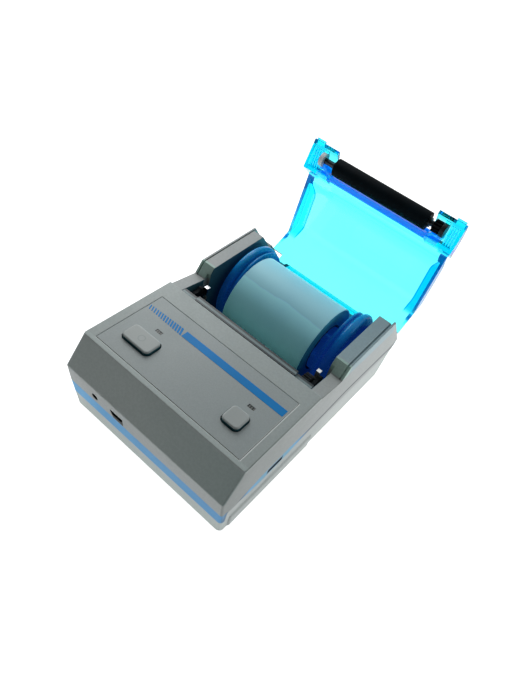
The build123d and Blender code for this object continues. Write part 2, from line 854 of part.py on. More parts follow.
def lid_side(points, sign):
    """One side wall, from the panel down to the cheek's ledge."""
    outer = sign * lid_half
    inner = sign * (lid_half - lid_skin)
    low, high = sorted((outer, inner))
    start_y = cheek_front_y + 1.5
    end_y = cheek_rear_y - 3.0
    kink_y = points[3][0]
    deep = -lid_skin + 0.5
    outline = [
        (start_y, ledge_at(start_y) + lid_gap),
        (end_y, ledge_at(end_y) + lid_gap),
        (end_y + 0.6, ledge_at(end_y) + lid_gap),
        on_slope(lid_foot_split() - 1.5, deep - 0.5),
        on_slope(lid_foot_split() - 3.0, deep),
        (kink_y + 1.5, lid_crown_z - lid_skin - 2.0),
        (kink_y - 1.0, lid_crown_z - lid_skin + 0.6),
        (points[2][0] + 2, points[2][1] - lid_skin + 0.6),
        (points[1][0] + 3, points[1][1] - 0.6),
    ]
    wall_side = side_prism(outline, low, high)
    block_low, block_high = sorted((outer, sign * (lid_half - 3.2)))
    lug = [(start_y - 0.2, ledge_at(start_y) + lid_gap), (start_y + 3.4, ledge_at(start_y) + lid_gap + 0.2),
           (start_y + 3.4, lid_shoulder_z + 0.4), (start_y - 0.2, lid_shoulder_z - 0.9)]
    return wall_side + side_prism(lug, block_low, block_high)


def ear_profile():
    """The ear's outline seen from the side, lid shut: from the tip over the top to the step."""
    tip_y = cover_end_y + 1.5
    tip_z = landing_at(tip_y) + lid_gap
    rear_y = landing_end_y - 0.2
    return [
        (tip_y, tip_z),
        (tip_y + 0.4, tip_z + ear_tip_rise - 1.0),
        (tip_y + 3.4, tip_z + ear_tip_rise + 0.8),
        (tip_y + 8.4, ear_top_z - 0.6),
        (tip_y + 14.0, ear_top_z),
        (cheek_front_y + 0.4, ear_top_z + 0.35),
        (cheek_front_y - 0.4, cheek_front_z + 0.4),
        (rear_y, landing_at(rear_y) + lid_gap),
    ]


def ear_inner_x():
    """The ear's inner end."""
    return bushing_inner_x - 5.6


def lid_ear(sign):
    """One ear: a ribbed hollow lug that carries the platen's end, with a tab at its corner."""
    outline = ear_profile()
    outer_x = ear_half
    inner_x = ear_inner_x()
    solid = side_prism(outline, inner_x, outer_x)
    lowered = [(y, z - lid_skin) for y, z in outline[1:6]]
    room_rear_y = outline[-1][0] - lid_skin
    room = [(outline[0][0] + lid_skin, outline[0][1] - 5), (lowered[0][0] + lid_skin, lowered[0][1]),
            (lowered[1][0] + 0.6, lowered[1][1]), lowered[2], lowered[3], (room_rear_y, lowered[4][1]),
            (room_rear_y, outline[-1][1] - 5)]
    solid -= side_prism(room, inner_x - 1, outer_x - lid_skin)
    saddle_low = bushing_inner_x - 0.2
    saddle_line = [(platen_y - 5, platen_z), (platen_y - 5, ear_top_z - 2),
                   (platen_y + 5, ear_top_z - 1), (platen_y + 5, platen_z)]
    saddle = side_prism(saddle_line, saddle_low, saddle_low + bushing_length + 0.4)
    solid += saddle & side_prism(outline, inner_x, outer_x)
    rib_span = outer_x - lid_skin - (saddle_low + bushing_length + 1.2)
    for i in range(ear_rib_count):
        rib_x = saddle_low + bushing_length + 1.2 + rib_span * (i + 0.5) / ear_rib_count
        rib_line = [(outline[0][0] + 4, outline[0][1] + 0.8), (outline[2][0] + 1, outline[2][1] - 0.6),
                    (outline[4][0], outline[4][1] - 0.8), (outline[5][0] - 3, outline[5][1] - 0.8),
                    (outline[7][0] - 2, outline[7][1] + 2.6)]
        solid += side_prism(rib_line, rib_x - ear_rib_thick / 2, rib_x + ear_rib_thick / 2)
    tab_low = outer_x - ear_tab_width - 1.2
    tab_line = [(outline[0][0] - ear_tab_reach, outline[0][1] + ear_tab_reach * 0.3),
                (outline[1][0] - ear_tab_reach, outline[1][1] + 0.4),
                (outline[2][0], outline[2][1]), (outline[1][0] + 1, outline[1][1] - 1)]
    solid += side_prism(tab_line, tab_low, outer_x - 1.2)
    return solid if sign > 0 else mirrored(solid)


def lid_cradle():
    """The guide rib behind the platen, its ends bent up to the ears."""
    rib_y = platen_y + rubber_radius + cradle_gap
    top_z = ear_top_z - lid_skin + 0.4
    low_z = platen_z - 0.6
    half = rubber_length / 2 + 1.6
    rib = block(-half, half, rib_y, rib_y + cradle_thick, low_z, top_z)
    bend_x = bushing_inner_x + 0.6
    outline = Polyline((half - 0.2, rib_y), (bend_x, platen_y + 1.0), (bend_x + 1.2, platen_y + 2.0),
                       (half - 0.2, rib_y + cradle_thick), close=True)
    wing = Pos(0, 0, low_z) * extrude(make_face(outline), amount=top_z - low_z)
    bridge_line = [(rib_y - 0.6, top_z - 0.4), (rib_y - 0.6, ear_top_z - 0.1),
                   (cheek_front_y, ear_top_z + 0.2), (cheek_front_y, ear_top_z - lid_skin + 0.1)]
    bridge = side_prism(bridge_line, -bushing_inner_x, bushing_inner_x)
    return rib + wing + mirrored(wing) + bridge


def lid_barrel(points):
    """The round foot of the lid that turns on the hinge pins, and the webs that hold it."""
    barrel = rod_x(-lid_barrel_half, lid_barrel_half, hinge_y, hinge_z, lid_barrel_radius)
    room = lid_barrel_half - lid_skin
    barrel -= rod_x(-room, room, hinge_y, hinge_z, lid_barrel_radius - lid_skin)
    knuckle_half = bay_half - slide_gap
    for sign in (-1, 1):
        low, high = sorted((sign * (room - 0.5), sign * knuckle_half))
        barrel += rod_x(low, high, hinge_y, hinge_z, lid_knuckle_radius)
        pin_low, pin_high = sorted((sign * (knuckle_half - hinge_pin_grip), sign * (knuckle_half + 1)))
        barrel -= rod_x(pin_low, pin_high, hinge_y, hinge_z, hinge_pin_radius + running_gap)
    start = points[3]
    end = points[4]
    run = hypot(end[0] - start[0], end[1] - start[1])
    along = ((end[0] - start[0]) / run, (end[1] - start[1]) / run)
    toward = (along[1], -along[0])
    foot = ((hinge_y - start[0]) * along[0] + (hinge_z - start[1]) * along[1])
    base = (start[0] + along[0] * foot, start[1] + along[1] * foot)
    web = []
    for side, depth in ((-3.0, 0.8), (3.0, 0.8), (3.0, 4.0), (-3.0, 4.0)):
        web.append((base[0] + along[0] * side + toward[0] * depth,
                    base[1] + along[1] * side + toward[1] * depth))
    bridge = side_prism(web, -lid_barrel_half, lid_barrel_half)
    bridge -= rod_x(-room, room, hinge_y, hinge_z, lid_barrel_radius - 0.4)
    return barrel + bridge


def make_platen():
    """Rubber, shaft, gear and bushings, drawn with the lid shut."""
    half = rubber_length / 2
    end_x = bushing_inner_x + bushing_length
    rubber = rod_x(-half, half, platen_y, platen_z, rubber_radius)
    rubber -= rod_x(-half, half, platen_y, platen_z, platen_shaft_radius)
    shaft = rod_x(-end_x, end_x, platen_y, platen_z, platen_shaft_radius)
    for sign in (-1, 1):
        low, high = sorted((sign * half, sign * (half + collar_length)))
        shaft += rod_x(low, high, platen_y, platen_z, collar_radius)
    gear = gear_x(platen_teeth, platen_y, platen_z, approach_angle() + 180)
    gear -= rod_x(gear_start_x - 1, gear_start_x + gear_width + 1, platen_y, platen_z, platen_shaft_radius)
    bushings = []
    for sign in (-1, 1):
        low, high = sorted((sign * bushing_inner_x, sign * end_x))
        ring = rod_x(low, high, platen_y, platen_z, bushing_radius)
        ring -= rod_x(low, high, platen_y, platen_z, platen_shaft_radius + running_gap)
        bushings.append(ring)
    return rubber, shaft, gear, bushings


def approach_angle():
    """Direction in which the platen leaves the mechanism as the lid starts to open."""
    reach_y = platen_y - hinge_y
    reach_z = platen_z - hinge_z
    return degrees(atan2(-reach_y, reach_z))


def drive_centre():
    """The drive gear sits on the line along which the platen drops in."""
    distance = gear_module * (platen_teeth + drive_teeth) / 2
    angle = radians(approach_angle())
    return platen_y - distance * cos(angle), platen_z - distance * sin(angle)


def idler_centre():
    """The idler meshes in front of the drive gear and a little below it."""
    distance = gear_module * (idler_teeth + drive_teeth) / 2
    drive_y, drive_z = drive_centre()
    drop = radians(idler_drop)
    return drive_y - distance * cos(drop), drive_z - distance * sin(drop)


def motor_centre():
    """The motor pinion meshes in front of the idler and a little above it."""
    distance = gear_module * (motor_teeth + idler_teeth) / 2
    idler_y, idler_z = idler_centre()
    lift = radians(motor_lift)
    return idler_y - distance * cos(lift), idler_z + distance * sin(lift)


def half_pitch(teeth):
    """Half of one tooth's pitch, in degrees."""
    return 180.0 / teeth


def meshing_phase(direction, phase, teeth, next_teeth):
    """Phase of a gear that meshes with another one, seen in a direction from that one."""
    return direction + 180 + (direction - phase) * teeth / next_teeth + half_pitch(next_teeth)


def bored(gear, y, z, radius):
    """A gear with its bore."""
    return gear - rod_x(gear_start_x - 1, gear_start_x + gear_width + 1, y, z, radius)


def make_gear_train():
    """Drive gear, idler and motor pinion in mesh, with their bores, and the motor's shaft."""
    drive_y, drive_z = drive_centre()
    idler_y, idler_z = idler_centre()
    motor_y, motor_z = motor_centre()
    stud_bore = stud_radius + running_gap
    drive_phase = approach_angle() + half_pitch(drive_teeth)
    to_idler = 180 + idler_drop
    idler_phase = meshing_phase(to_idler, drive_phase, drive_teeth, idler_teeth)
    to_motor = 180 - motor_lift
    pinion_phase = meshing_phase(to_motor, idler_phase, idler_teeth, motor_teeth)
    drive = bored(gear_x(drive_teeth, drive_y, drive_z, drive_phase), drive_y, drive_z, stud_bore)
    idler = bored(gear_x(idler_teeth, idler_y, idler_z, idler_phase), idler_y, idler_z, stud_bore)
    pinion = bored(gear_x(motor_teeth, motor_y, motor_z, pinion_phase), motor_y, motor_z, motor_shaft_radius)
    shaft = rod_x(bracket_x() - 2.6, gear_start_x + gear_width, motor_y, motor_z, motor_shaft_radius)
    return drive, idler, pinion, shaft


def bracket_x():
    """The inner face of the bracket that carries the motor."""
    return gear_start_x - 0.5 - bracket_thick


def make_mechanism():
    """Frame, head, heatsink and leaf springs of the print mechanism."""
    plate_low = bushing_inner_x + 0.1
    plate_high = plate_low + frame_plate
    base_top = frame_base_z + frame_plate
    drive_y, drive_z = drive_centre()
    idler_y, idler_z = idler_centre()
    motor_y, motor_z = motor_centre()
    outline = [(frame_front_y, frame_base_z), (frame_front_y, motor_z + 6), (cover_end_y + 1.0, 43.2),
               (frame_rear_y - 2.0, landing_at(frame_rear_y) - 1.0),
               (frame_rear_y, landing_at(frame_rear_y) - 3.0),
               (frame_rear_y, 34.0), (frame_base_rear_y, 30.0), (frame_base_rear_y, frame_base_z)]
    plate = side_prism(outline, plate_low, plate_high)
    slot = Box(30, 2 * (bushing_radius + 0.45), frame_plate + 4, align=(Align.MIN, Align.CENTER, Align.MIN))
    mouth = Plane.YZ.offset(plate_low - 2) * Pos(platen_y, platen_z, 0) * Rot(0, 0, approach_angle()) * slot
    plate -= mouth
    plate -= rod_x(plate_low - 1, plate_high + 1, platen_y, platen_z, bushing_radius + 0.45)
    base = block(-plate_high, plate_high, frame_front_y, frame_base_rear_y, frame_base_z, base_top)
    bracket_line = [(frame_front_y, frame_base_z), (frame_front_y, motor_z + 5), (idler_y + 1, motor_z + 5),
                    (idler_y + 5, idler_z + 2), (idler_y + 5, frame_base_z)]
    bracket = side_prism(bracket_line, bracket_x(), bracket_x() + bracket_thick)
    frame = plate + mirrored(plate) + base + bracket
    frame += rod_x(gear_start_x - 0.3, plate_low + 0.5, drive_y, drive_z, stud_radius)
    frame += rod_x(bracket_x(), plate_low + 0.5, idler_y, idler_z, stud_radius)
    room = rod_x(gear_start_x - 0.4, gear_start_x + gear_width + 0.4, drive_y, drive_z,
                 gear_module * (drive_teeth / 2 + 1) + 0.3)
    frame -= room - rod_x(gear_start_x - 1, plate_low + 1, drive_y, drive_z, stud_radius)
    frame -= rod_x(bracket_x() - 1, bracket_x() + bracket_thick + 0.2, motor_y, motor_z,
                   motor_shaft_radius + 0.8)
    head_rear = platen_y - rubber_radius - head_gap
    head = block(-head_width / 2, head_width / 2, head_rear - head_thick, head_rear,
                 platen_z - head_low, platen_z + head_top)
    sink_rear = head_rear - head_thick
    sink = block(-head_width / 2 - 0.8, head_width / 2 + 0.8, sink_rear - heatsink_thick, sink_rear,
                 base_top, platen_z - 1.8)
    leaf_face = sink_rear - heatsink_thick
    leaf = side_prism([(leaf_face - leaf_thick, base_top), (leaf_face - leaf_thick - 2.0, platen_z - 12),
                       (leaf_face - leaf_thick, platen_z - 5), (leaf_face, platen_z - 5),
                       (leaf_face - 1.8, platen_z - 12), (leaf_face, base_top)], -12, -3)
    return frame, head, sink, leaf


def make_motor():
    """The stepper motor: a round can on a square flange that is screwed to the bracket."""
    motor_y, motor_z = motor_centre()
    face_x = bracket_x()
    flange_x = face_x - motor_flange
    can = rod_x(flange_x - motor_length, flange_x, motor_y, motor_z, motor_radius)
    can = fillet(can.edges().sort_by(Axis.X)[0], 0.6)
    flange = block(flange_x, face_x, frame_front_y + 0.3, motor_y + motor_radius - 1,
                   frame_base_z + frame_plate + 0.3, motor_z + 4)
    socket = rod_x(face_x - 2.8, face_x + 1, motor_y, motor_z, motor_shaft_radius + running_gap)
    return (can + flange) - socket


def make_catches():
    """Two bright hooks at the rear lips of the frame's slots, ending above the drive gear."""
    plate_low = bushing_inner_x + 0.1
    drive_y, drive_z = drive_centre()
    hook_y = platen_y + bushing_radius + 1.1
    tip = gear_module * (drive_teeth / 2 + 0.9)
    beside = hook_y - drive_y
    low = drive_z + max(tip ** 2 - beside ** 2, 0) ** 0.5 + catch_gap
    top = landing_at(hook_y) - 0.9
    outline = [(hook_y, low), (hook_y, top), (hook_y + catch_reach, top),
               (hook_y + catch_reach, top - catch_thick),
               (hook_y + catch_thick, top - catch_thick), (hook_y + catch_thick, low)]
    hook = side_prism(outline, plate_low - catch_width, plate_low)
    return [hook, mirrored(hook)]


def make_roll():
    """The label roll on its core."""
    half = roll_width / 2
    paper = rod_x(-half, half, roll_y, roll_z, roll_radius) - rod_x(-half, half, roll_y, roll_z, core_radius)
    core = rod_x(-half, half, roll_y, roll_z, core_radius) - rod_x(-half, half, roll_y, roll_z, core_bore)
    return paper, core


def make_hub(sign):
    """A spinning flange with a finned nose that enters the roll's core."""
    face = flange_face_x
    nose_tip = roll_width / 2 - hub_reach
    flange = rod_x(face, face + flange_thick, roll_y, roll_z, flange_radius)
    flange = fillet(flange.edges().filter_by(GeomType.CIRCLE), 0.4)
    nose = rod_x(nose_tip + 1.0, face + 0.2, roll_y, roll_z, core_bore * 0.55)
    fin_reach = core_bore - hub_gap
    fins = nose
    for i in range(hub_fins):
        fin = Polyline((nose_tip, 0), (nose_tip, fin_reach - 1.4), (nose_tip + 1.4, fin_reach),
                       (face + 0.2, fin_reach), (face + 0.2, 0), close=True)
        plate = extrude(Plane.XZ * make_face(fin), amount=0.7, both=True)
        fins += Pos(0, roll_y, roll_z) * Rot(360 * i / hub_fins + 15, 0, 0) * plate
    fins -= rod_x(nose_tip - 1, face - 1.2, roll_y, roll_z, core_bore * 0.45)
    spindle = rod_x(face + flange_thick - 0.2, arm_face_x + arm_thick, roll_y, roll_z, spindle_radius)
    hub = flange + fins + spindle
    return hub if sign > 0 else mirrored(hub)


def rack_teeth(length):
    """A straight rack along X, its pitch line on Y = 0 and its teeth towards +Y."""
    pitch = pi * rack_module
    slope = tan(radians(pressure_angle))
    count = int(length / pitch)
    tip = 0.9 * rack_module
    root = -1.15 * rack_module
    half = pitch / 4 - rack_backlash / 2
    points = [(-length / 2, root - rack_back), (-length / 2, root)]
    for i in range(count):
        middle = (i - (count - 1) / 2) * pitch
        points += [(middle - half - slope * -root, root), (middle - half + slope * tip, tip),
                   (middle + half - slope * tip, tip), (middle + half + slope * -root, root)]
    points += [(length / 2, root), (length / 2, root - rack_back)]
    return extrude(make_face(Polyline(*points, close=True)), amount=rack_height)


def rack_floor():
    """The underside of the racks, below the tray's floor."""
    return wall + 0.4


def make_holder(sign):
    """A roll holder: an upright arm with a neck that goes down through the tray to its rack."""
    arm_y = roll_y + arm_shift_y
    arm_z = roll_z + arm_shift_z
    foot_z = tray_floor_z + slide_gap
    lip_x = arm_face_x + arm_lip
    groove_x = lip_x + arm_groove
    outer_x = arm_face_x + arm_thick
    body = rod_x(groove_x, outer_x, arm_y, arm_z, arm_radius)
    body = fillet(body.edges().filter_by(GeomType.CIRCLE), arm_round)
    lip = rod_x(arm_face_x, lip_x, arm_y, arm_z, arm_lip_radius)
    lip = fillet(lip.edges().filter_by(GeomType.CIRCLE), arm_lip * 0.4)
    core = rod_x(lip_x - 0.1, groove_x + 0.1, arm_y, arm_z, arm_groove_radius)
    holder = body + lip + core
    holder -= rod_x(outer_x - 4.4, outer_x + 1, arm_y, arm_z, arm_groove_radius - 2.4)
    holder += rod_x(lip_x, outer_x - 1.2, roll_y, roll_z, spindle_radius + 2.4)
    for turn in (0, 60, 120):
        spoke = Pos((lip_x + outer_x - 1.2) / 2, arm_y, arm_z) * Rot(turn + 20, 0, 0) * Box(
            outer_x - 1.2 - lip_x, 2 * arm_groove_radius - 4.0, 1.4)
        holder += spoke
    holder &= block(arm_face_x - 1, outer_x + 1, 0, arm_rear_y, foot_z, arm_z + arm_radius + 1)
    pitch_radius = rack_module * pinion_teeth / 2
    rack_y = roll_y - sign * pitch_radius
    neck_low, neck_high = sorted((rack_y - sign * 1.5, rack_y - sign * (1.5 + neck_length)))
    neck = block(outer_x - neck_thick, outer_x, neck_low, neck_high, rack_floor() + rack_height, foot_z + 6)
    holder += neck
    holder -= rod_x(arm_face_x - 2, arm_face_x + arm_thick + 2, roll_y, roll_z, spindle_radius + running_gap)
    if sign > 0:
        return holder
    return mirrored(holder)


def make_rack(sign):
    """The toothed bar under a holder's neck."""
    outer_x = arm_face_x + arm_thick
    length = outer_x + rack_overlap
    rack_y = roll_y - sign * rack_module * pinion_teeth / 2
    middle_x = outer_x - length / 2 + rack_shift(length)
    bar = Pos(middle_x, rack_y, rack_floor()) * Rot(0, 0, 0 if sign > 0 else 180) * rack_teeth(length)
    return bar if sign > 0 else mirrored(bar)


def rack_shift(length):
    """The nudge that centres a rack gap on the pinion's middle."""
    pitch = pi * rack_module
    count = int(length / pitch)
    centre = arm_face_x + arm_thick - length / 2
    first = -(count - 1) / 2 * pitch
    offset = (0 - centre - first) / pitch
    part = offset - int(offset)
    return (part - 0.5) * pitch


def make_pinion():
    """The pinion between the two racks, which keeps the holders even."""
    gear = involute_gear(pinion_teeth, rack_module, rack_height, rack_backlash, 90.0)
    gear = Pos(0, roll_y, rack_floor()) * gear
    return gear - rod_z(0, roll_y, 0, 20, stud_radius + running_gap)


def make_tray():
    """The dark trough under the roll, slotted for the holders' necks."""
    floor_low = tray_floor_z - tray_skin
    tray = block(-tray_half, tray_half, tray_front_y, tray_rear_y, floor_low, tray_side_z)
    tray -= block(-tray_half + tray_skin, tray_half - tray_skin, tray_front_y + tray_skin,
                  tray_rear_y - tray_skin, tray_floor_z, tray_side_z + 1)
    tray += block(-tray_front_half, tray_front_half, tray_front_y, tray_front_y + tray_skin,
                  tray_side_z - 1, tray_front_z)
    pitch_radius = rack_module * pinion_teeth / 2
    outer_x = arm_face_x + arm_thick
    for sign in (-1, 1):
        rack_y = roll_y - sign * pitch_radius
        near_y, far_y = sorted((rack_y - sign * 1.0, rack_y - sign * (2.0 + neck_length)))
        low, high = sorted((sign * (outer_x - neck_thick - 0.5), sign * (outer_x + holder_travel + 0.5)))
        tray -= block(low, high, near_y, far_y, floor_low - 1, tray_floor_z + 2)
    post = rod_z(0, roll_y, wall, tray_floor_z - tray_skin, stud_radius)
    return tray + post


def make_key_board():
    """The small board under the cover with its two switches."""
    board_top = switch_top() - 3.4
    half = panel_width / 2 - 4
    board = block(-half, half, brow_y + 6, brow_y + 28, board_top - board_thick, board_top)
    switches = []
    for x in (wide_button_x, small_button_x):
        body = block(x - switch_body / 2, x + switch_body / 2, button_y - switch_body / 2,
                     button_y + switch_body / 2, board_top, board_top + 2.6)
        body += rod_z(x, button_y, board_top + 2.4, board_top + 3.4, 1.2)
        switches.append(body)
    return board, switches


def make_main_board():
    """The main board over the battery, with the power jack and the USB socket at its front."""
    front_y = front_at(main_board_z) + wall + 0.5
    half = half_width - wall - 5.0
    board = block(-half, half, front_y, front_y + main_board_length, main_board_z, main_board_z + board_thick)
    for x, y in screw_places():
        board -= rod_z(x, y, main_board_z - 1, main_board_z + 4, boss_radius + 0.5)
    top = main_board_z + board_thick
    jack = block(jack_x - 3.6, jack_x + 3.6, front_y, front_y + 10, top, jack_z + 3.6)
    bore = Pos(jack_x, front_y - 1, jack_z) * Rot(-90, 0, 0) * Cylinder(
        jack_radius, 9.5, align=(Align.CENTER, Align.CENTER, Align.MIN))
    jack -= bore
    jack += Pos(jack_x, front_y - 1.6, jack_z) * Rot(-90, 0, 0) * Cylinder(
        0.6, 10.5, align=(Align.CENTER, Align.CENTER, Align.MIN))
    usb = block(usb_x - 4.3, usb_x + 4.3, front_y, front_y + 8.5, top, usb_z + 2.2)
    usb -= block(usb_x - 3.7, usb_x + 3.7, front_y - 1, front_y + 7.5, usb_z - 1.3, usb_z + 1.5)
    usb += block(usb_x - 2.6, usb_x + 2.6, front_y + 1.2, front_y + 8, usb_z + 0.3, usb_z + 0.9)
    return board, jack, usb


def make_card_socket():
    """The metal socket behind the side slot."""
    outer_x = half_width - wall - 0.2
    z_middle = slot_middle_z()
    low_y = slot_y - slot_length / 2 - 1.0
    high_y = slot_y + slot_length / 2 + 1.0
    socket = block(outer_x - 9.0, outer_x, low_y, high_y, z_middle - 1.3, z_middle + 1.3)
    return socket - block(outer_x - 7.8, outer_x + 1, low_y + 1, high_y - 1, z_middle - 0.55, z_middle + 0.55)


def make_battery():
    """The battery pack and the hatch below it."""
    x_low, x_high, y_low, y_high, z_low, z_high = battery_box()
    pack = block(x_low, x_high, y_low, y_high, z_low, z_high)
    pack = fillet(pack.edges().filter_by(Axis.Y), 1.0)
    door = block(x_low - 1 + door_gap, x_high + 1 - door_gap, y_low - 1 + door_gap, y_high + 1 - door_gap,
                 0, door_thick)
    door -= Pos(0, y_high - 4, 0) * Box(12, 3, 1.2)
    return pack, door


def make_screws():
    """Four case screws, heads sunk in the base."""
    screws = []
    for x, y in screw_places():
        head = rod_z(x, y, edge_round - 0.4, edge_round + 1.4, screw_head_radius)
        head -= Pos(x, y, edge_round - 0.4) * Box(3.4, 0.8, 1.4)
        head -= Pos(x, y, edge_round - 0.4) * Box(0.8, 3.4, 1.4)
        screws.append(head + rod_z(x, y, edge_round + 1.3, parting_z + 5, screw_shank_radius))
    return screws


def make_tear_bar():
    """The thin strip behind the cover's rear edge, lower at its ends where the lid's ears land."""
    front_y = cover_end_y + 0.35
    rear_y = platen_y - rubber_radius - 0.6
    top = cover_end_z
    middle = ear_inner_x() - 0.4
    half = landing_inner_x - 0.3
    end_top = landing_at(cover_end_y) - 0.2
    bar = block(-middle, middle, front_y, rear_y, top - 0.7, top)
    lip = block(-middle, middle, front_y, front_y + 0.8, end_top - 2.0, top - 0.3)
    ends = block(-half, half, front_y, front_y + 0.8, end_top - 2.0, end_top)
    shelf = block(middle - 0.1, half, front_y, rear_y, end_top - 0.8, end_top)
    return bar + lip + ends + shelf + mirrored(shelf)


def build():
    """Make every piece in its place."""
    band = band_zone()
    body_low = fillet(lower_hull(0, 0, parting_z).faces().sort_by(Axis.Z)[0].edges(), edge_round)
    body_high = upper_hull()
    keep("lower_shell", make_lower_shell(body_low, band & band_ring(body_low)))
    keep("upper_shell", make_upper_shell(body_high, band & band_ring(body_high)))
    keep("front_cover", make_front_cover(body_high))
    slot = side_slot()
    ring = (band & band_ring(body_low)) + (band & band_ring(body_high))
    keep("belt_band", ring - slot)
    keep("panel_plate", make_panel_plate())
    keep("stripe_bar", stripe_prism(stripe_break, stripe_right, 0.0))
    keep("stripe_ticks", *make_ticks())
    lenses = []
    for x in window_places():
        depth = cover_skin
        lens = Box(window_length, window_width, depth)
        lenses.append(cover_frame(window_y, panel_proud - 0.15) * Pos(x, 0, -depth / 2) * lens)
    keep("led_windows", *lenses)
    keep("feed_button", make_button(small_button_x, small_button_size))
    keep("power_button", make_button(wide_button_x, wide_button_size))
    board, switches = make_key_board()
    keep("key_board", board)
    keep("tact_switches", *switches)
    board, jack, usb = make_main_board()
    keep("main_board", board)
    keep("dc_jack", jack)
    keep("usb_socket", usb)
    keep("card_socket", make_card_socket())
    pack, door = make_battery()
    keep("battery_pack", pack)
    keep("battery_door", door)
    keep("case_screws", *make_screws())
    keep("tear_bar", make_tear_bar())
    frame, head, sink, leaf = make_mechanism()
    keep("mechanism_frame", frame)
    keep("print_head", head)
    keep("head_heatsink", sink)
    keep("head_leaf_springs", leaf, mirrored(leaf))
    keep("feed_motor", make_motor())
    drive, idler, pinion, shaft = make_gear_train()
    keep("drive_gear", drive)
    keep("idler_gear", idler)
    keep("motor_pinion", pinion)
    keep("motor_shaft", shaft)
    keep("platen_catches", *make_catches())
    keep("roll_tray", make_tray())
    keep("left_holder", make_holder(-1))
    keep("right_holder", make_holder(1))
    keep("left_rack", make_rack(-1))
    keep("right_rack", make_rack(1))
    keep("left_hub", make_hub(-1))
    keep("right_hub", make_hub(1))
    keep("holder_pinion", make_pinion())
    paper, core = make_roll()
    keep("paper_roll", paper)
    keep("roll_core", core)
    knuckle_half = bay_half - slide_gap
    pin_low = knuckle_half - hinge_pin_grip + 0.3
    pin = rod_x(pin_low, landing_inner_x + 1.4, hinge_y, hinge_z, hinge_pin_radius)
    keep("hinge_pins", pin, mirrored(pin))
    keep("lid", opened(make_lid()))
    rubber, shaft, gear, bushings = make_platen()
    keep("platen_rubber", opened(rubber))
    keep("platen_shaft", opened(shaft))
    keep("platen_gear", opened(gear))
    keep("platen_bushings", *[opened(ring) for ring in bushings])


def band_ring(hull):
    """The outer skin of a hull, as deep as the band is set in."""
    low_z = band_front_low - 1
    reach = half_width - band_depth
    foot_rear_y = body_depth - foot_inset_rear + (foot_inset_rear - waist_inset_rear) * low_z / parting_z
    core = side_prism([(front_at(low_z) + band_depth, low_z), (front_at(tail_z) + band_depth, tail_z),
                       (body_depth - band_depth, tail_z),
                       (body_depth - waist_inset_rear - band_depth, parting_z),
                       (foot_rear_y - band_depth, low_z)], -reach, reach)
    slab = block(-half_width - 2, half_width + 2, -10, body_depth + 10, low_z, tail_z)
    return (hull & slab) - core


build()
os.makedirs("parts", exist_ok=True)
for name, solids in parts.items():
    moved = [Pos(0, -body_depth / 2, 0) * solid for solid in solids]
    shape = moved[0] if len(moved) == 1 else Compound(children=moved)
    export_step(shape, f"parts/{name}.step")
    print(name, len(moved), round(sum(solid.volume for solid in moved), 1))
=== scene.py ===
import bpy
import bmesh
import json
import math
from mathutils import Matrix, Vector

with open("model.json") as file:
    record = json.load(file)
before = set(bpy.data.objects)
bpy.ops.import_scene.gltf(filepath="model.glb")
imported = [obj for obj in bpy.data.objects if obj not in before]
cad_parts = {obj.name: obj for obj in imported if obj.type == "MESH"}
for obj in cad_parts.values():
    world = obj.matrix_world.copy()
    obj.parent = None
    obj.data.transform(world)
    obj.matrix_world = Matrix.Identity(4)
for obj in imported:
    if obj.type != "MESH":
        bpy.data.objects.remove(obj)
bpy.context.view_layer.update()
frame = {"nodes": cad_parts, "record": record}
nodes = frame["nodes"]


# Lengths are metres. The tables of zones below are in drawing millimetres, whose y starts at the
# front edge of the foot.

MM = 0.001
SHIFT_Y = 73.5


def drawn_y(value):
    """A drawing's y as the scene's y."""
    return (value - SHIFT_Y) * MM


# Camera, worked out from the photograph's straight edges
PHOTO_WIDTH, PHOTO_HEIGHT = 516.0, 688.0
FOCAL_PIXELS = 557.76
SENSOR_HEIGHT = 36.0
CAMERA_RIGHT = Vector((0.75254, 0.62681, 0.20200))
CAMERA_DOWN = Vector((0.57298, -0.47199, -0.67002))
CAMERA_AHEAD = Vector((-0.32463, 0.61995, -0.71434))
CAMERA_PLACE = Vector((91.38, -95.41 - SHIFT_Y, 230.44)) * MM

# Places on the object
FRONT_LEAN = 0.1565                                         # the nose's y per z
FRONT_FACE = drawn_y(4.9)
COVER_SLOPE = 1.4 / 52.0                                    # the cover's z per y
COVER_LEVEL = (45.6 + (SHIFT_Y - 9.6) * COVER_SLOPE) * MM
HINGE_Y = drawn_y(134.7)
HINGE_Z = 28.0 * MM
LID_TRAVEL = math.radians(100.0)
ROLL_Y, ROLL_Z = 0.0275, 0.0325
ROLL_SKIN = (0.0222, 0.0225)                                # radii between its ends and its face
RING_SPAN = (0.0014, 0.0018)                                # radii of the wide button's ring
RING_PLACE = (-0.0274, drawn_y(25.0), 0.0)

# Light
FLOOR_REACH = 6.0
FLOOR_SEEN = 0.86
FLOOR_GLOW = 0.68
SKY_LOBES = (                                               # way, low, high, gain
    ((0.0, 0.0, 1.0), -1.1, -1.0, 0.37),
    ((0.2, -0.85, 0.45), 0.0, 0.8, -0.32),
    ((-0.2, 0.9, 0.35), 0.3, 0.95, 0.45),
)
LAMPS = (                                                   # name, place, target, size, power
    ("left_rear", (-0.18, 0.12, 0.20), (0.0, 0.0, 0.04), (0.16, 0.16), 0.34),
    ("right_rear", (0.22, 0.12, 0.045), (0.05, 0.02, 0.03), (0.10, 0.06), 0.10),
)

# Colours that cover a piece
GREY = (0.42, 0.45, 0.445)
PALE_GREY = (0.56, 0.60, 0.59)
PANEL = (0.39, 0.44, 0.44)
BUTTON = (0.44, 0.48, 0.47)
BLACK = (0.0, 0.0, 0.0)
WHITE = (1.0, 1.0, 1.0)

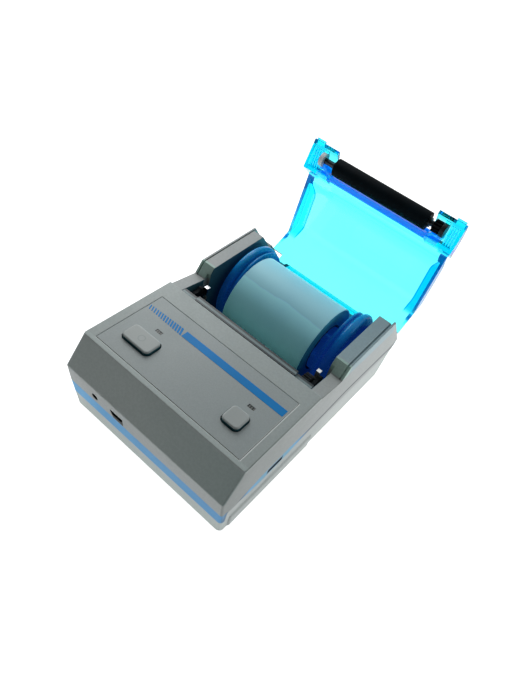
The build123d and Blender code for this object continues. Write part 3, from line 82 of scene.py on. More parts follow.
# Colours of places on the shells, most of them painted shade in hollows and painted highlights on
# edges
PORT_PAINTED_SHADE = (0.010, 0.012, 0.014)
PORT_SURROUND_SHADE = (0.035, 0.040, 0.038)
SLOT_PAINTED_SHADE = (0.001, 0.008, 0.022)
LINE_GREY = (0.15, 0.16, 0.17)
BAY_SHADE_TEAL = (0.05, 0.15, 0.19)
STRIP_PALE = (0.20, 0.27, 0.28)
COVER_FRONT_HIGHLIGHT = (0.56, 0.60, 0.59)
PANEL_FRONT_HIGHLIGHT = (0.50, 0.54, 0.53)
RIGHT_EDGE_HIGHLIGHT = (0.74, 0.78, 0.77)

# Zones in drawing millimetres: (low, high, softness) along each axis. An axis with _off counts
# from the middle plane, on both sides.
ZONES = {
    "port_room": dict(x=(-33.0, -10.0, 0.1), y=(-1.0, 7.5, 0.1), z=(21.8, 27.0, 0.1)),
    "port_frame": dict(x=(-30.0, -11.3, 0.1), y=(-1.0, 7.5, 0.1), z=(20.4, 25.9, 0.1)),
    "slot_room": dict(x=(40.0, 60.0, 0.1), y=(31.6, 42.6, 0.1), z=(17.9, 21.7, 0.2)),
    "line_sides": dict(y=(57.0, 160.0, 4.0), x_off=(46.0, 60.0, 0.2)),
    "bay": dict(y=(62.0, 142.0, 0.2)),
    "nose": dict(y=(-5.0, 9.4, 0.5)),
    "brow": dict(y=(9.7, 12.0, 0.3)),
    "cover_top": dict(y=(9.7, 70.0, 0.3), z=(44.5, 60.0, 0.3)),
    "cover_edge_front": dict(x=(-42.0, 42.5, 0.05), y=(11.8, 12.5, 0.05)),
    "cover_edge_right": dict(x=(41.6, 42.5, 0.05), y=(12.0, 51.3, 0.05)),
    "foot_front": dict(y=(-5.0, 5.6, 0.3)),
    "sill_right": dict(x=(46.0, 60.0, 0.2), y=(6.0, 72.0, 14.0)),
    "cheek_rise": dict(x_off=(38.0, 47.3, 0.1), y=(77.5, 84.8, 0.3), z=(44.0, 51.0, 0.3)),
    "cheek_ledge": dict(x=(38.0, 47.3, 0.1), y=(85.0, 128.0, 1.0), z=(44.0, 60.0, 0.3)),
    "side_right": dict(x=(46.6, 60.0, 0.2), z=(-5.0, 52.0, 0.5)),
    "panel_edge_front": dict(y=(12.0, 12.42, 0.03)),
    "panel_edge_right": dict(x=(41.68, 42.2, 0.03)),
    "strip": dict(y=(63.0, 64.3, 0.15)),
    "belt_glow": dict(y=(22.0, 52.0, 6.0)),
    "belt_rear": dict(y=(58.0, 160.0, 6.0)),
    "belt_corner": dict(y=(4.0, 16.0, 3.0), x_off=(47.0, 60.0, 0.2)),
    "holder_top": dict(z=(47.0, 70.0, 5.0)),
}

# Zones of the lid, given as it lies when shut
LID_ZONES = {
    "sides": dict(x_off=(44.3, 50.0, 0.1), y=(83.0, 128.0, 1.0)),
    "right_side": dict(x=(43.8, 50.0, 0.1), y=(86.0, 122.0, 2.0)),
    "shoulder_span": dict(y=(85.5, 124.0, 1.5), z=(52.0, 70.0, 0.3)),
    "rim": dict(x_off=(43.7, 50.0, 0.1), y=(84.0, 126.0, 0.5), z=(40.0, 52.4, 0.4)),
    "ears": dict(x_off=(39.5, 50.0, 0.5), y=(58.0, 84.0, 0.4)),
    "rib": dict(x_off=(-1.0, 31.4, 0.3), y=(75.9, 81.6, 0.2), z=(44.0, 52.0, 0.3)),
    "wings": dict(x_off=(30.2, 38.6, 0.2), y=(71.4, 79.6, 0.2), z=(44.0, 50.2, 0.3)),
    "lug": dict(x_off=(41.8, 50.0, 0.1), y=(84.0, 89.2, 0.2), z=(44.0, 53.2, 0.2)),
}


def make_camera():
    """The camera at the photograph's viewing angle."""
    data = bpy.data.cameras.new("camera")
    camera = bpy.data.objects.new("camera", data)
    bpy.context.scene.collection.objects.link(camera)
    turn = Matrix((CAMERA_RIGHT, -CAMERA_DOWN, -CAMERA_AHEAD)).transposed().to_4x4()
    camera.matrix_world = Matrix.Translation(CAMERA_PLACE) @ turn
    data.sensor_fit = "VERTICAL"
    data.sensor_height = SENSOR_HEIGHT
    data.sensor_width = SENSOR_HEIGHT * PHOTO_WIDTH / PHOTO_HEIGHT
    data.lens = FOCAL_PIXELS * SENSOR_HEIGHT / PHOTO_HEIGHT
    data.clip_start = 0.01
    data.clip_end = 50.0
    bpy.context.scene.camera = camera


# Node helpers

class Net:
    """A material's node tree with short calls."""

    def __init__(self, name):
        self.material = bpy.data.materials.new(name)
        self.material.use_nodes = True
        self.tree = self.material.node_tree
        self.tree.nodes.clear()
        self.out = self.add("ShaderNodeOutputMaterial")
        self.place = self.add("ShaderNodeTexCoord").outputs["Object"]
        self.axes = None

    def add(self, kind, **settings):
        node = self.tree.nodes.new(kind)
        for key, value in settings.items():
            setattr(node, key, value)
        return node

    def join(self, source, target):
        self.tree.links.new(source, target)

    def give(self, value, target):
        """Join an output to an input, or write a number or a colour into it."""
        if isinstance(value, tuple):
            target.default_value = (*value, 1.0)
        elif isinstance(value, (int, float)):
            target.default_value = value
        else:
            self.join(value, target)

    def shifted(self, offset=(0, 0, 0), scale=(1, 1, 1)):
        """Object coordinates less an offset, stretched."""
        node = self.add("ShaderNodeMapping", vector_type="POINT")
        node.inputs["Location"].default_value = [-o * s for o, s in zip(offset, scale)]
        node.inputs["Scale"].default_value = scale
        self.join(self.place, node.inputs["Vector"])
        return node.outputs["Vector"]

    def noise(self, scale, detail=3.0, rough=0.55, vector=None):
        node = self.add("ShaderNodeTexNoise")
        node.inputs["Scale"].default_value = scale
        node.inputs["Detail"].default_value = detail
        node.inputs["Roughness"].default_value = rough
        self.join(vector or self.place, node.inputs["Vector"])
        return node.outputs["Fac"]

    def ramp(self, value, low, high, to_low=0.0, to_high=1.0, smooth=False):
        """The value's span from low to high as a span from to_low to to_high, clamped."""
        node = self.add("ShaderNodeMapRange")
        if smooth:
            node.interpolation_type = "SMOOTHSTEP"
        ends = {"From Min": low, "From Max": high, "To Min": to_low, "To Max": to_high}
        for key, number in ends.items():
            node.inputs[key].default_value = number
        self.join(value, node.inputs["Value"])
        return node.outputs["Result"]

    def mix(self, factor, a, b):
        """Colour a where the factor is 0 and b where it is 1."""
        node = self.add("ShaderNodeMix", data_type="RGBA")
        self.join(factor, node.inputs["Factor"])
        self.give(a, node.inputs[6])
        self.give(b, node.inputs[7])
        return node.outputs[2]

    def tinted(self, base, factor, color):
        """The base multiplied by a colour where the factor is one."""
        node = self.add("ShaderNodeMix", data_type="RGBA", blend_type="MULTIPLY")
        self.give(factor, node.inputs["Factor"])
        self.join(base, node.inputs[6])
        self.give(color, node.inputs[7])
        return node.outputs[2]

    def math(self, kind, a, b=None):
        node = self.add("ShaderNodeMath", operation=kind)
        self.give(a, node.inputs[0])
        if b is not None:
            self.give(b, node.inputs[1])
        return node.outputs[0]

    def times(self, a, b):
        return self.math("MULTIPLY", a, b)

    def split(self, vector=None):
        """The x, y and z of a vector, or of the place on the object."""
        node = self.add("ShaderNodeSeparateXYZ")
        self.join(vector or self.place, node.inputs[0])
        return node.outputs

    def bump(self, height, strength, distance, edge=0.0):
        """A bump over softened edges."""
        node = self.add("ShaderNodeBump")
        node.inputs["Strength"].default_value = strength
        node.inputs["Distance"].default_value = distance
        self.join(height, node.inputs["Height"])
        if edge > 0:
            bevel = self.add("ShaderNodeBevel", samples=6)
            bevel.inputs["Radius"].default_value = edge
            self.join(bevel.outputs["Normal"], node.inputs["Normal"])
        return node.outputs["Normal"]

    def inside(self, value, low, high, soft=0.0001):
        """One between two values, zero outside them."""
        rise = self.ramp(value, low - soft, low + soft)
        fall = self.ramp(value, high - soft, high + soft, 1.0, 0.0)
        return self.times(rise, fall)

    def box(self, spans):
        """One inside a zone of the tables above."""
        axes = self.axes or self.split()
        total = None
        for key, (low, high, soft) in spans.items():
            shift = SHIFT_Y if key[0] == "y" else 0.0
            value = axes["xyz".index(key[0])]
            if key.endswith("_off"):
                value = self.math("ABSOLUTE", value)
            part = self.inside(value, (low - shift) * MM, (high - shift) * MM, soft * MM)
            total = part if total is None else self.times(total, part)
        return total

    def zone(self, name):
        return self.box(ZONES[name])

    def surface(self, color, roughness, normal, **values):
        """The principled shader, with plain values on its own sockets."""
        shader = self.add("ShaderNodeBsdfPrincipled")
        self.give(color, shader.inputs["Base Color"])
        self.give(roughness, shader.inputs["Roughness"])
        self.give(normal, shader.inputs["Normal"])
        for key, value in values.items():
            shader.inputs[key.replace("_", " ")].default_value = value
        self.join(shader.outputs[0], self.out.inputs["Surface"])
        return shader


def shade(color, factor):
    """A colour made lighter or darker."""
    return tuple(min(1.0, c * factor) for c in color)


# Zones of the shells, most of them painted light and shade: each takes the colour so far and
# gives the next

def port_rooms(net, base):
    """Painted shade: the insides of the jack's hole and the USB opening are painted dark, and so
    is a place under it.
    """
    axes = net.split()
    lean = net.math("ADD", axes[1], net.times(axes[2], FRONT_LEAN))
    deep = net.ramp(lean, FRONT_FACE + 0.0001, FRONT_FACE + 0.0004)
    # painted shade inside the holes
    base = net.mix(net.times(deep, net.zone("port_room")), base, PORT_PAINTED_SHADE)
    # painted shade on a place under the opening
    frame_left = net.ramp(axes[2], 20.2 * MM, 25.9 * MM, -17.9 * MM, -19.4 * MM)
    right_of = net.ramp(net.math("SUBTRACT", axes[0], frame_left), -0.1 * MM, 0.1 * MM)
    return net.mix(net.times(right_of, net.zone("port_frame")), base, PORT_SURROUND_SHADE)


def slot_room(net, base):
    """Painted shade: the card slot's inside faces and a narrow rim round it are painted dark."""
    return net.mix(net.zone("slot_room"), base, SLOT_PAINTED_SHADE)


def side_line(net, base):
    """The shadow of the joint between the shells, which climbs along the sides to a crest."""
    front_y, crest_y, rear_y = drawn_y(37.1), drawn_y(95.0), drawn_y(147.0)
    axes = net.split()
    climb = net.ramp(axes[1], front_y, crest_y, 19.8 * MM, 24.5 * MM)
    fall = net.ramp(axes[1], crest_y, rear_y, 0.0, -0.9 * MM)
    away = net.math("ABSOLUTE", net.math("SUBTRACT", axes[2], net.math("ADD", climb, fall)))
    near = net.ramp(away, 0.8 * MM, 1.2 * MM, 1.0, 0.0)
    return net.mix(net.times(near, net.zone("line_sides")), base, LINE_GREY)


def bay_wall_shade(net, base):
    """Painted shade: the walls of the bay are painted dark teal between the holders and the roll,
    as shaded and tinted by blue light from the holders.
    """
    axes = net.split()
    reach = net.ramp(axes[1], 0.0055, 0.0065, 0.0406, 0.0386)
    inner = net.math("LESS_THAN", net.math("ABSOLUTE", axes[0]), reach)
    return net.mix(net.times(inner, net.zone("bay")), base, BAY_SHADE_TEAL)


def nose_shade_cover_light(net, base):
    """Painted light and shade: the slanted nose is painted darker to the right, as shaded; the
    brow and the top of the cover are painted paler, as if in stronger light.
    """
    nose = net.zone("nose")
    base = net.tinted(base, nose, (0.97, 1.02, 1.00))
    toward_right = net.ramp(net.split()[0], -0.010, 0.047)
    base = net.tinted(base, net.times(nose, toward_right), (0.80, 0.86, 0.86))
    base = net.tinted(base, net.zone("brow"), (1.10, 1.12, 1.11))
    return net.tinted(base, net.zone("cover_top"), (1.04, 1.09, 1.08))


def seam_light(net, base):
    """A painted highlight: a pale line on the cover along the panel's front and right edges."""
    front = net.zone("cover_edge_front")
    right = net.zone("cover_edge_right")
    base = net.mix(front, base, COVER_FRONT_HIGHLIGHT)
    return net.mix(right, base, RIGHT_EDGE_HIGHLIGHT)


def base_shade(net, base):
    """Painted light and shade: the foot is painted paler at the front and darker along the front
    half of the right side.
    """
    base = net.tinted(base, net.zone("foot_front"), (1.09, 1.12, 1.10))
    return net.tinted(base, net.zone("sill_right"), (0.86, 0.87, 0.87))


def cheek_lid_light(net, base):
    """Painted light: the cheeks are painted with some of the lid's coloured light, green on their
    rises and blue on the right ledge.
    """
    base = net.tinted(base, net.zone("cheek_rise"), (1.04, 1.36, 1.24))
    return net.tinted(base, net.zone("cheek_ledge"), (0.86, 1.08, 1.18))


def side_shade(net, base):
    """Painted shade: the right side is painted darker toward the front."""
    fade = net.ramp(net.split()[1], drawn_y(5.0), drawn_y(95.0), 1.0, 0.0)
    return net.tinted(base, net.times(net.zone("side_right"), fade), (0.70, 0.71, 0.71))


def panel_edges(net, base):
    """Painted highlights on the panel's front and right edges, where they catch the light, and
    painted shade that makes its rear left part darker.
    """
    front = net.zone("panel_edge_front")
    right = net.zone("panel_edge_right")
    base = net.mix(front, base, PANEL_FRONT_HIGHLIGHT)
    base = net.mix(right, base, RIGHT_EDGE_HIGHLIGHT)
    toward_left = net.ramp(net.split()[0], -0.038, -0.005, 1.0, 0.0)
    toward_rear = net.ramp(net.split()[1], drawn_y(18.0), drawn_y(46.0))
    return net.tinted(base, net.times(toward_left, toward_rear), (0.86, 0.88, 0.88))


def strip_light(net, base):
    """A paler band along the tear strip."""
    return net.mix(net.zone("strip"), base, STRIP_PALE)


# Materials

def moulded(name, color, rough=0.5, spread=0.05, grain=900.0, depth=0.00002, edge=0.0004,
            gloss=0.4, zones=()):
    """Moulded plastic with a fine spark texture, faint flow marks and soft edges."""
    net = Net(name)
    flow = net.noise(14.0, 4.0, 0.6, net.shifted(scale=(1.0, 0.6, 1.6)))
    fine = net.noise(grain, 2.0, 0.5)
    base = net.mix(net.ramp(flow, 0.35, 0.65), shade(color, 1 - spread), shade(color, 1 + spread))
    speck = net.mix(net.ramp(fine, 0.4, 0.62), shade(color, 0.955), WHITE)
    speck_share = 0.12
    mixed = net.add("ShaderNodeMix", data_type="RGBA", blend_type="MULTIPLY")
    mixed.inputs["Factor"].default_value = speck_share
    net.join(base, mixed.inputs[6])
    net.join(speck, mixed.inputs[7])
    roughness = net.ramp(net.noise(60.0, 3.0, 0.6), 0.3, 0.7, rough - 0.05, rough + 0.06)
    normal = net.bump(fine, 0.35, depth, edge)
    final = mixed.outputs[2]
    for zone in zones:
        final = zone(net, final)
    net.surface(final, roughness, normal, Specular_IOR_Level=gloss)
    return net.material


def printed(name, color, rough=0.4):
    """A printed film with a faint screen texture."""
    net = Net(name)
    fine = net.noise(2400.0, 2.0, 0.5)
    soft = net.noise(45.0, 3.0, 0.5)
    base = net.mix(net.ramp(soft, 0.3, 0.7), shade(color, 0.93), shade(color, 1.08))
    roughness = net.ramp(fine, 0.3, 0.7, rough - 0.06, rough + 0.08)
    net.surface(base, roughness, net.bump(fine, 0.2, 0.000008), Specular_IOR_Level=0.15)
    return net.material


def push_button(name, ring_place=None):
    """A grey cap whose low sides are painted dark teal as shade, with a faint ring on the wide
    button.
    """
    low_side_shade = (0.010, 0.085, 0.11)
    net = Net(name)
    fine = net.noise(1200.0, 2.0, 0.5)
    soft = net.noise(60.0, 3.0, 0.5)
    base = net.mix(net.ramp(soft, 0.3, 0.7), shade(BUTTON, 0.97), shade(BUTTON, 1.03))
    axes = net.split()
    cover = net.math("ADD", net.times(axes[1], COVER_SLOPE), COVER_LEVEL)
    rise = net.math("SUBTRACT", axes[2], cover)
    # painted shade on the button's low sides, near the cover
    base = net.mix(net.ramp(rise, 0.0010, 0.0015, 1.0, 0.0), base, low_side_shade)
    if ring_place:
        away = net.split(net.shifted(offset=ring_place))
        across = net.times(away[0], away[0])
        along = net.times(away[1], away[1])
        ring = net.inside(net.math("SQRT", net.math("ADD", across, along)), *RING_SPAN)
        base = net.tinted(base, ring, (0.80, 0.84, 0.84))
    roughness = net.ramp(fine, 0.3, 0.7, 0.36, 0.46)
    net.surface(base, roughness, net.bump(fine, 0.3, 0.00001, 0.0006), Specular_IOR_Level=0.35)
    return net.material


def smoked_window(name):
    """A small grey window with darker strokes."""
    stroke_rate = 5200.0
    net = Net(name)
    axes = net.split()
    fine = net.noise(600.0, 2.0, 0.5)
    waves = net.math("SINE", net.times(axes[0], stroke_rate))
    base = net.mix(net.ramp(waves, -0.3, 0.3), (0.035, 0.045, 0.045), (0.17, 0.18, 0.17))
    roughness = net.ramp(fine, 0.3, 0.7, 0.25, 0.35)
    net.surface(base, roughness, net.bump(fine, 0.2, 0.000005, 0.0001), Specular_IOR_Level=0.3)
    return net.material


def metal(name, color, rough=0.3, stretch=(1.0, 1.0, 1.0), scale=700.0):
    """Worked metal with fine marks along one direction."""
    net = Net(name)
    marks = net.noise(scale, 4.0, 0.6, net.shifted(scale=stretch))
    base = net.mix(net.ramp(marks, 0.3, 0.7), shade(color, 0.85), shade(color, 1.08))
    roughness = net.ramp(marks, 0.25, 0.75, rough - 0.08, rough + 0.1)
    net.surface(base, roughness, net.bump(marks, 0.25, 0.00001, 0.00015), Metallic=1.0)
    return net.material


def clear_blue(name):
    """Tinted clear plastic: the tint deepens with the length of the path through it. Its thick
    places, the rim, lugs and guide rib, are a deeper blue and a little cloudy, with a painted
    glow."""
    net = Net(name)
    waves = net.noise(22.0, 2.0, 0.5)
    fine = net.noise(400.0, 2.0, 0.5)
    base = net.mix(net.ramp(waves, 0.3, 0.7), (0.93, 0.99, 1.0), WHITE)
    shut = net.add("ShaderNodeVectorRotate", rotation_type="X_AXIS")
    shut.inputs["Center"].default_value = (0.0, HINGE_Y, HINGE_Z)
    shut.inputs["Angle"].default_value = LID_TRAVEL
    net.join(net.place, shut.inputs["Vector"])
    net.axes = net.split(shut.outputs[0])
    across, along = net.axes[0], net.axes[1]

    base = net.mix(net.box(LID_ZONES["sides"]), base, (0.22, 0.74, 0.98))
    right = net.box(LID_ZONES["right_side"])
    base = net.mix(right, base, (0.02, 0.44, 0.90))

    off = net.math("ABSOLUTE", across)
    start = net.ramp(along, drawn_y(85.0), drawn_y(97.0), 43.7 * MM, 39.8 * MM, True)
    span = net.box(LID_ZONES["shoulder_span"])
    past = net.math("SUBTRACT", off, start)
    shoulder = net.times(span, net.inside(past, 0.0, 4.4 * MM, 0.1 * MM))
    left_tone = net.mix(shoulder, base, (0.10, 0.80, 0.94))
    right_tone = net.mix(shoulder, base, (0.01, 0.56, 0.90))
    base = net.mix(net.ramp(across, -0.001, 0.001), left_tone, right_tone)
    crease = net.times(span, net.inside(past, -0.35 * MM, 0.35 * MM, 0.15 * MM))
    base = net.mix(crease, base, (0.0, 0.36, 0.80))

    rim = net.box(LID_ZONES["rim"])
    base = net.mix(rim, base, (0.0, 0.30, 0.74))
    base = net.mix(net.box(LID_ZONES["ears"]), base, (0.20, 0.80, 0.97))
    guide = net.math("MAXIMUM", net.box(LID_ZONES["rib"]), net.box(LID_ZONES["wings"]))
    base = net.mix(guide, base, (0.0, 0.36, 0.96))
    lug = net.box(LID_ZONES["lug"])
    base = net.mix(lug, base, (0.0, 0.30, 0.80))

    roughness = net.ramp(fine, 0.3, 0.7, 0.03, 0.10)
    shader = net.surface(base, roughness, net.bump(waves, 0.12, 0.0004, 0.0004),
                         IOR=1.49, Specular_IOR_Level=0.15)
    cloudy = lug
    for part, share in ((guide, 0.65), (rim, 0.6), (right, 0.5)):
        cloudy = net.math("MAXIMUM", cloudy, net.times(part, share))
    net.join(net.ramp(cloudy, 0.0, 1.0, 1.0, 0.0), shader.inputs["Transmission Weight"])
    # a painted glow in the rim, lugs and guide rib
    painted_glow = net.mix(net.math("MAXIMUM", rim, lug), BLACK, (0.0, 0.04, 0.20))
    net.join(net.mix(guide, painted_glow, (0.0, 0.12, 0.52)), shader.inputs["Emission Color"])
    shader.inputs["Emission Strength"].default_value = 0.55
    depth = net.add("ShaderNodeVolumeAbsorption")
    depth.inputs["Color"].default_value = (0.0, 0.960, 0.989, 1.0)
    depth.inputs["Density"].default_value = 1130.0
    net.join(depth.outputs[0], net.out.inputs["Volume"])
    return net.material


def milky_blue(name):
    """Blue translucent plastic of the holders, painted paler at the top for the light through the
    lid, and with a painted glow that is duller on the left.
    """
    net = Net(name)
    soft = net.noise(40.0, 3.0, 0.5)
    fine = net.noise(900.0, 2.0, 0.5)
    base = net.mix(net.ramp(soft, 0.3, 0.7), (0.002, 0.08, 0.42), (0.002, 0.13, 0.60))
    # painted light: paler at the top, for the light through the lid
    base = net.mix(net.zone("holder_top"), base, (0.0, 0.25, 0.52))
    roughness = net.ramp(fine, 0.3, 0.7, 0.22, 0.32)
    shader = net.surface(base, roughness, net.bump(fine, 0.15, 0.00001, 0.0005),
                         Specular_IOR_Level=0.2)
    shader.inputs["Subsurface Weight"].default_value = 0.4
    shader.inputs["Subsurface Radius"].default_value = (0.2, 0.6, 1.0)
    shader.inputs["Subsurface Scale"].default_value = 0.003
    # a painted glow, duller on the left
    side = net.ramp(net.split()[0], -0.01, 0.01)
    painted_glow = net.mix(side, (0.002, 0.035, 0.13), (0.004, 0.045, 0.26))
    net.join(painted_glow, shader.inputs["Emission Color"])
    shader.inputs["Emission Strength"].default_value = 0.28
    return net.material


def paper_roll(name):
    """Coated label paper: smooth outside, with the edges of its turns on the ends. Its colours
    are
    painted light: dark teal shade on the ends, the lid's cyan light on the face, and painted
    light and shade meeting along a wavy line near the top of the outer face."""
    net = Net(name)
    parts = net.split(net.shifted(offset=(0, ROLL_Y, ROLL_Z)))
    across = net.times(parts[1], parts[1])
    upward = net.times(parts[2], parts[2])
    radius = net.math("SQRT", net.math("ADD", across, upward))
    turns = net.add("ShaderNodeCombineXYZ")
    net.join(radius, turns.inputs[0])
    rings = net.noise(2600.0, 3.0, 0.6, turns.outputs[0])
    wide = net.noise(300.0, 2.0, 0.6, turns.outputs[0])
    layers = net.math("ADD", net.times(rings, 0.6), net.times(wide, 0.4))
    # painted shade on the ends, tinted blue by the holders
    ends_shade_color = net.mix(net.ramp(layers, 0.35, 0.65), (0.03, 0.28, 0.38), (0.06, 0.42, 0.54))
    cloud = net.noise(35.0, 4.0, 0.55)
    # the face is painted cyan, the lid's light on white paper
    face_lid_light_color = net.mix(net.ramp(cloud, 0.3, 0.7), (0.38, 0.82, 0.95), (0.43, 0.88, 0.98))
    outside = net.ramp(radius, *ROLL_SKIN)
    base = net.mix(outside, ends_shade_color, face_lid_light_color)
    # more of the lid's painted cyan light low down
    low_lid_light = net.ramp(parts[2], -0.004, 0.020, 1.0, 0.0, True)
    base = net.tinted(base, low_lid_light, (1.0, 1.35, 1.3))

    # painted light below and painted shade above a wavy line on the face
    step_height = (0.0211, 0.0214)
    wavy = net.math("ADD", parts[2], net.times(cloud, 0.0024))
    front_face = net.times(outside, net.ramp(parts[1], -0.001, 0.002, 1.0, 0.0))
    lower = net.times(front_face, net.ramp(wavy, *step_height, 1.0, 0.0))
    base = net.tinted(base, lower, (1.06, 1.14, 1.14))
    upper = net.times(outside, net.ramp(wavy, *step_height))
    base = net.tinted(base, upper, (0.86, 0.90, 0.93))

    fibre = net.noise(1500.0, 3.0, 0.6)
    height = net.math("ADD", net.times(layers, 0.7), net.times(fibre, 0.3))
    net.surface(base, net.ramp(fibre, 0.3, 0.7, 0.42, 0.56), net.bump(height, 0.4, 0.00004))
    return net.material


def bushing_pair(name):
    """The left bushing is white and the right one, behind the gear, black."""
    net = Net(name)
    side = net.split()[0]
    fine = net.noise(700.0, 2.0, 0.5)
    base = net.mix(net.ramp(side, -0.001, 0.001), (0.66, 0.69, 0.72), (0.01, 0.012, 0.014))
    roughness = net.ramp(fine, 0.3, 0.7, 0.32, 0.42)
    net.surface(base, roughness, net.bump(fine, 0.2, 0.00001, 0.0002))
    return net.material


def glow_belt(name):
    """The belt's blue plastic, with painted light and shade: brighter to the left, a greener
    painted glow round the card slot, painted shade inside the slot, and dark grey shade where it
    is only a line."""
    net = Net(name)
    soft = net.noise(30.0, 3.0, 0.5)
    fine = net.noise(900.0, 2.0, 0.5)
    base = net.mix(net.ramp(soft, 0.3, 0.7), (0.10, 0.35, 0.70), (0.16, 0.45, 0.80))
    # a painted glow round the card slot
    base = net.mix(net.zone("belt_glow"), base, (0.19, 0.42, 0.60))
    # painted shade where the belt shows only as a line in the joint
    line = net.math("MAXIMUM", net.zone("belt_rear"), net.zone("belt_corner"))
    base = net.mix(line, base, (0.10, 0.12, 0.15))
    # painted light: brighter to the left
    toward_left = net.ramp(net.split()[0], -0.040, 0.030, 1.0, 0.0)
    base = net.tinted(base, toward_left, (1.30, 1.24, 1.15))
    base = slot_room(net, base)
    roughness = net.ramp(fine, 0.3, 0.7, 0.38, 0.5)
    net.surface(base, roughness, net.bump(fine, 0.2, 0.00001, 0.0003), Specular_IOR_Level=0.08)
    return net.material


def rubber(name):
    """Ground rubber, matt black, with fine rings from the grinding."""
    net = Net(name)
    rings = net.noise(900.0, 3.0, 0.6, net.shifted(scale=(1.0, 0.05, 0.05)))
    dust = net.noise(120.0, 4.0, 0.6)
    base = net.mix(net.ramp(dust, 0.35, 0.75), (0.0005, 0.003, 0.005), (0.002, 0.007, 0.010))
    roughness = net.ramp(rings, 0.3, 0.7, 0.52, 0.66)
    net.surface(base, roughness, net.bump(rings, 0.3, 0.00002, 0.0003), Specular_IOR_Level=0.06)
    return net.material


# One material for each material slot of the record
MAKERS = {
    "housing_grey": lambda: moulded("grey_shell", GREY, spread=0.04),
    "button_grey": lambda: push_button("grey_button"),
    "stripe_blue": lambda: printed("stripe_print", (0.010, 0.25, 0.66)),
    "band_blue": lambda: glow_belt("belt_blue"),
    "window_dark": lambda: smoked_window("window_smoke"),
    "lid_blue_clear": lambda: clear_blue("lid_clear_blue"),
    "holder_blue": lambda: milky_blue("holder_blue"),
    "label_paper": lambda: paper_roll("label_roll"),
    "core_card": lambda: moulded("core_board", (0.05, 0.06, 0.065), rough=0.75, spread=0.1,
                                 grain=500.0, depth=0.00004, edge=0.0001, gloss=0.2),
    "platen_rubber": lambda: rubber("platen_rubber"),
    "steel": lambda: metal("steel_dark", (0.05, 0.06, 0.07), rough=0.4, stretch=(0.2, 1.0, 1.0)),
    "bright_metal": lambda: metal("bright_metal", (0.78, 0.80, 0.82), rough=0.18),
    "aluminium": lambda: metal("aluminium_strip", (0.06, 0.07, 0.075), rough=0.5,
                               stretch=(0.1, 1.0, 1.0)),
    "black_plastic": lambda: moulded("black_moulding", (0.006, 0.010, 0.013), rough=0.6,
                                     spread=0.1, edge=0.0003, gloss=0.12),
    "dark_tray": lambda: moulded("dark_tray", (0.010, 0.018, 0.024), rough=0.6, spread=0.1,
                                 gloss=0.15),
    "gear_black": lambda: moulded("gear_black", (0.005, 0.007, 0.009), spread=0.1, grain=700.0,
                                  depth=0.00001, edge=0.00015, gloss=0.15),
    "gear_white": lambda: moulded("gear_pale", (0.03, 0.035, 0.04), rough=0.4, grain=700.0,
                                  depth=0.00001, edge=0.00015),
    "bushing_white": lambda: bushing_pair("bushing_pair"),
    "board_green": lambda: moulded("board_mask", (0.02, 0.12, 0.06), rough=0.3, spread=0.15,
                                   grain=500.0, depth=0.00001, edge=0.0001),
    "ceramic_head": lambda: moulded("head_glaze", (0.55, 0.53, 0.48), rough=0.15, grain=400.0,
                                    depth=0.000005, edge=0.0001),
    "cell_wrap": lambda: moulded("cell_wrap", (0.03, 0.05, 0.14), rough=0.3, spread=0.1,
                                 grain=300.0),
}

# Nodes with a material of their own, in place of their slot's
OWN_MAKERS = {
    "lower_shell": lambda: moulded("grey_base", PALE_GREY, spread=0.04, gloss=0.25,
                                   zones=(base_shade, slot_room, side_line)),
    "upper_shell": lambda: moulded("grey_walls", GREY, spread=0.04, gloss=0.25,
                                   zones=(side_shade, cheek_lid_light, port_rooms, slot_room,
                                          bay_wall_shade, side_line)),
    "panel_plate": lambda: moulded("grey_panel", PANEL, rough=0.42, spread=0.03, grain=1600.0,
                                   depth=0.00001, edge=0.0001, zones=(panel_edges,)),
    "tear_bar": lambda: moulded("tear_strip", (0.045, 0.06, 0.065), rough=0.4, spread=0.1,
                                depth=0.00001, edge=0.0001, zones=(strip_light,)),
    "front_cover": lambda: moulded("grey_cover", GREY, spread=0.04, edge=0.0007,
                                   zones=(side_shade, nose_shade_cover_light, seam_light)),
    "power_button": lambda: push_button("grey_wide_button", RING_PLACE),
}


def dress_nodes():
    """Give every CAD node its material."""
    made = {}
    for part in frame["record"]["subparts"]:
        name, slot = part["node"], part["material_slot"]
        if name in OWN_MAKERS:
            slot = name
        if slot not in made:
            made[slot] = OWN_MAKERS[slot]() if slot in OWN_MAKERS else MAKERS[slot]()
        thing = nodes[name]
        if not thing.material_slots:
            thing.data.materials.append(made[slot])
        for place in thing.material_slots:
            place.link = "OBJECT"
            place.material = made[slot]


# Floor, world and lamps

def ray_factor(tree):
    """One for the rays that see the pale background: the camera's, and those through the lid."""
    path = tree.nodes.new("ShaderNodeLightPath")
    either = tree.nodes.new("ShaderNodeMath")
    either.operation = "MAXIMUM"
    tree.links.new(path.outputs["Is Camera Ray"], either.inputs[0])
    tree.links.new(path.outputs["Is Transmission Ray"], either.inputs[1])
    return either.outputs[0]


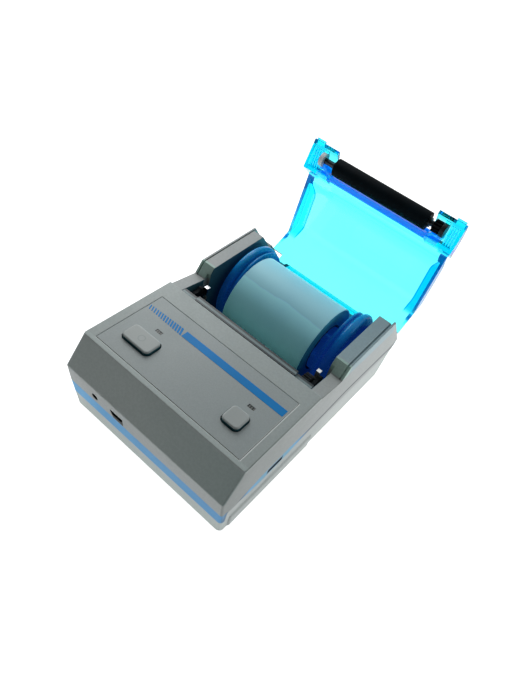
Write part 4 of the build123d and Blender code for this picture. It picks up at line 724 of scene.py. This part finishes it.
def make_floor():
    """A plain pale floor, white where it is seen."""
    mesh = bpy.data.meshes.new("floor")
    shape = bmesh.new()
    bmesh.ops.create_grid(shape, x_segments=2, y_segments=2, size=FLOOR_REACH)
    shape.to_mesh(mesh)
    shape.free()
    floor = bpy.data.objects.new("floor", mesh)
    bpy.context.scene.collection.objects.link(floor)
    material = bpy.data.materials.new("floor_pale")
    material.use_nodes = True
    tree = material.node_tree
    tree.nodes.clear()
    out = tree.nodes.new("ShaderNodeOutputMaterial")
    diffuse = tree.nodes.new("ShaderNodeBsdfDiffuse")
    diffuse.inputs["Color"].default_value = (0.9, 0.9, 0.9, 1)
    glow = tree.nodes.new("ShaderNodeEmission")
    glow.inputs["Color"].default_value = (1, 1, 1, 1)
    level = tree.nodes.new("ShaderNodeMapRange")
    level.inputs["To Min"].default_value = FLOOR_GLOW
    level.inputs["To Max"].default_value = FLOOR_SEEN
    tree.links.new(ray_factor(tree), level.inputs["Value"])
    tree.links.new(level.outputs[0], glow.inputs["Strength"])
    both = tree.nodes.new("ShaderNodeAddShader")
    tree.links.new(diffuse.outputs[0], both.inputs[0])
    tree.links.new(glow.outputs[0], both.inputs[1])
    tree.links.new(both.outputs[0], out.inputs["Surface"])
    mesh.materials.append(material)


def lobe(tree, way, low, high, gain):
    """A soft lobe of light round one direction, from its dot product with the ray."""
    place = tree.nodes.new("ShaderNodeTexCoord")
    along = tree.nodes.new("ShaderNodeVectorMath")
    along.operation = "DOT_PRODUCT"
    along.inputs[1].default_value = Vector(way).normalized()
    tree.links.new(place.outputs["Generated"], along.inputs[0])
    span = tree.nodes.new("ShaderNodeMapRange")
    span.interpolation_type = "SMOOTHSTEP"
    ends = {"From Min": low, "From Max": high, "To Min": 0.0, "To Max": gain}
    for key, number in ends.items():
        span.inputs[key].default_value = number
    tree.links.new(along.outputs["Value"], span.inputs["Value"])
    return span.outputs["Result"]


def make_world():
    """White where it is seen; its light is weakest from the camera's side."""
    world = bpy.data.worlds.new("studio")
    bpy.context.scene.world = world
    world.use_nodes = True
    tree = world.node_tree
    tree.nodes.clear()
    out = tree.nodes.new("ShaderNodeOutputWorld")
    seen = tree.nodes.new("ShaderNodeBackground")
    seen.inputs["Color"].default_value = (1, 1, 1, 1)
    seen.inputs["Strength"].default_value = 1.0
    light = tree.nodes.new("ShaderNodeBackground")
    light.inputs["Color"].default_value = (0.96, 0.99, 1.0, 1)
    total = None
    for way, low, high, gain in SKY_LOBES:
        part = lobe(tree, way, low, high, gain)
        if total is None:
            total = part
            continue
        plus = tree.nodes.new("ShaderNodeMath")
        plus.operation = "ADD"
        tree.links.new(total, plus.inputs[0])
        tree.links.new(part, plus.inputs[1])
        total = plus.outputs[0]
    tree.links.new(total, light.inputs["Strength"])
    mixer = tree.nodes.new("ShaderNodeMixShader")
    tree.links.new(ray_factor(tree), mixer.inputs[0])
    tree.links.new(light.outputs[0], mixer.inputs[1])
    tree.links.new(seen.outputs[0], mixer.inputs[2])
    tree.links.new(mixer.outputs[0], out.inputs["Surface"])


def make_lamp(name, place, target, size, power):
    """A soft rectangular lamp."""
    data = bpy.data.lights.new(name, "AREA")
    data.shape = "RECTANGLE"
    data.size, data.size_y = size
    data.energy = power
    lamp = bpy.data.objects.new(name, data)
    bpy.context.scene.collection.objects.link(lamp)
    lamp.location = place
    aim = Vector(target) - Vector(place)
    lamp.rotation_euler = aim.to_track_quat("-Z", "Y").to_euler()


dress_nodes()
make_camera()
make_floor()
make_world()
for lamp_values in LAMPS:
    make_lamp(*lamp_values)
bpy.context.scene.view_settings.view_transform = "Standard"
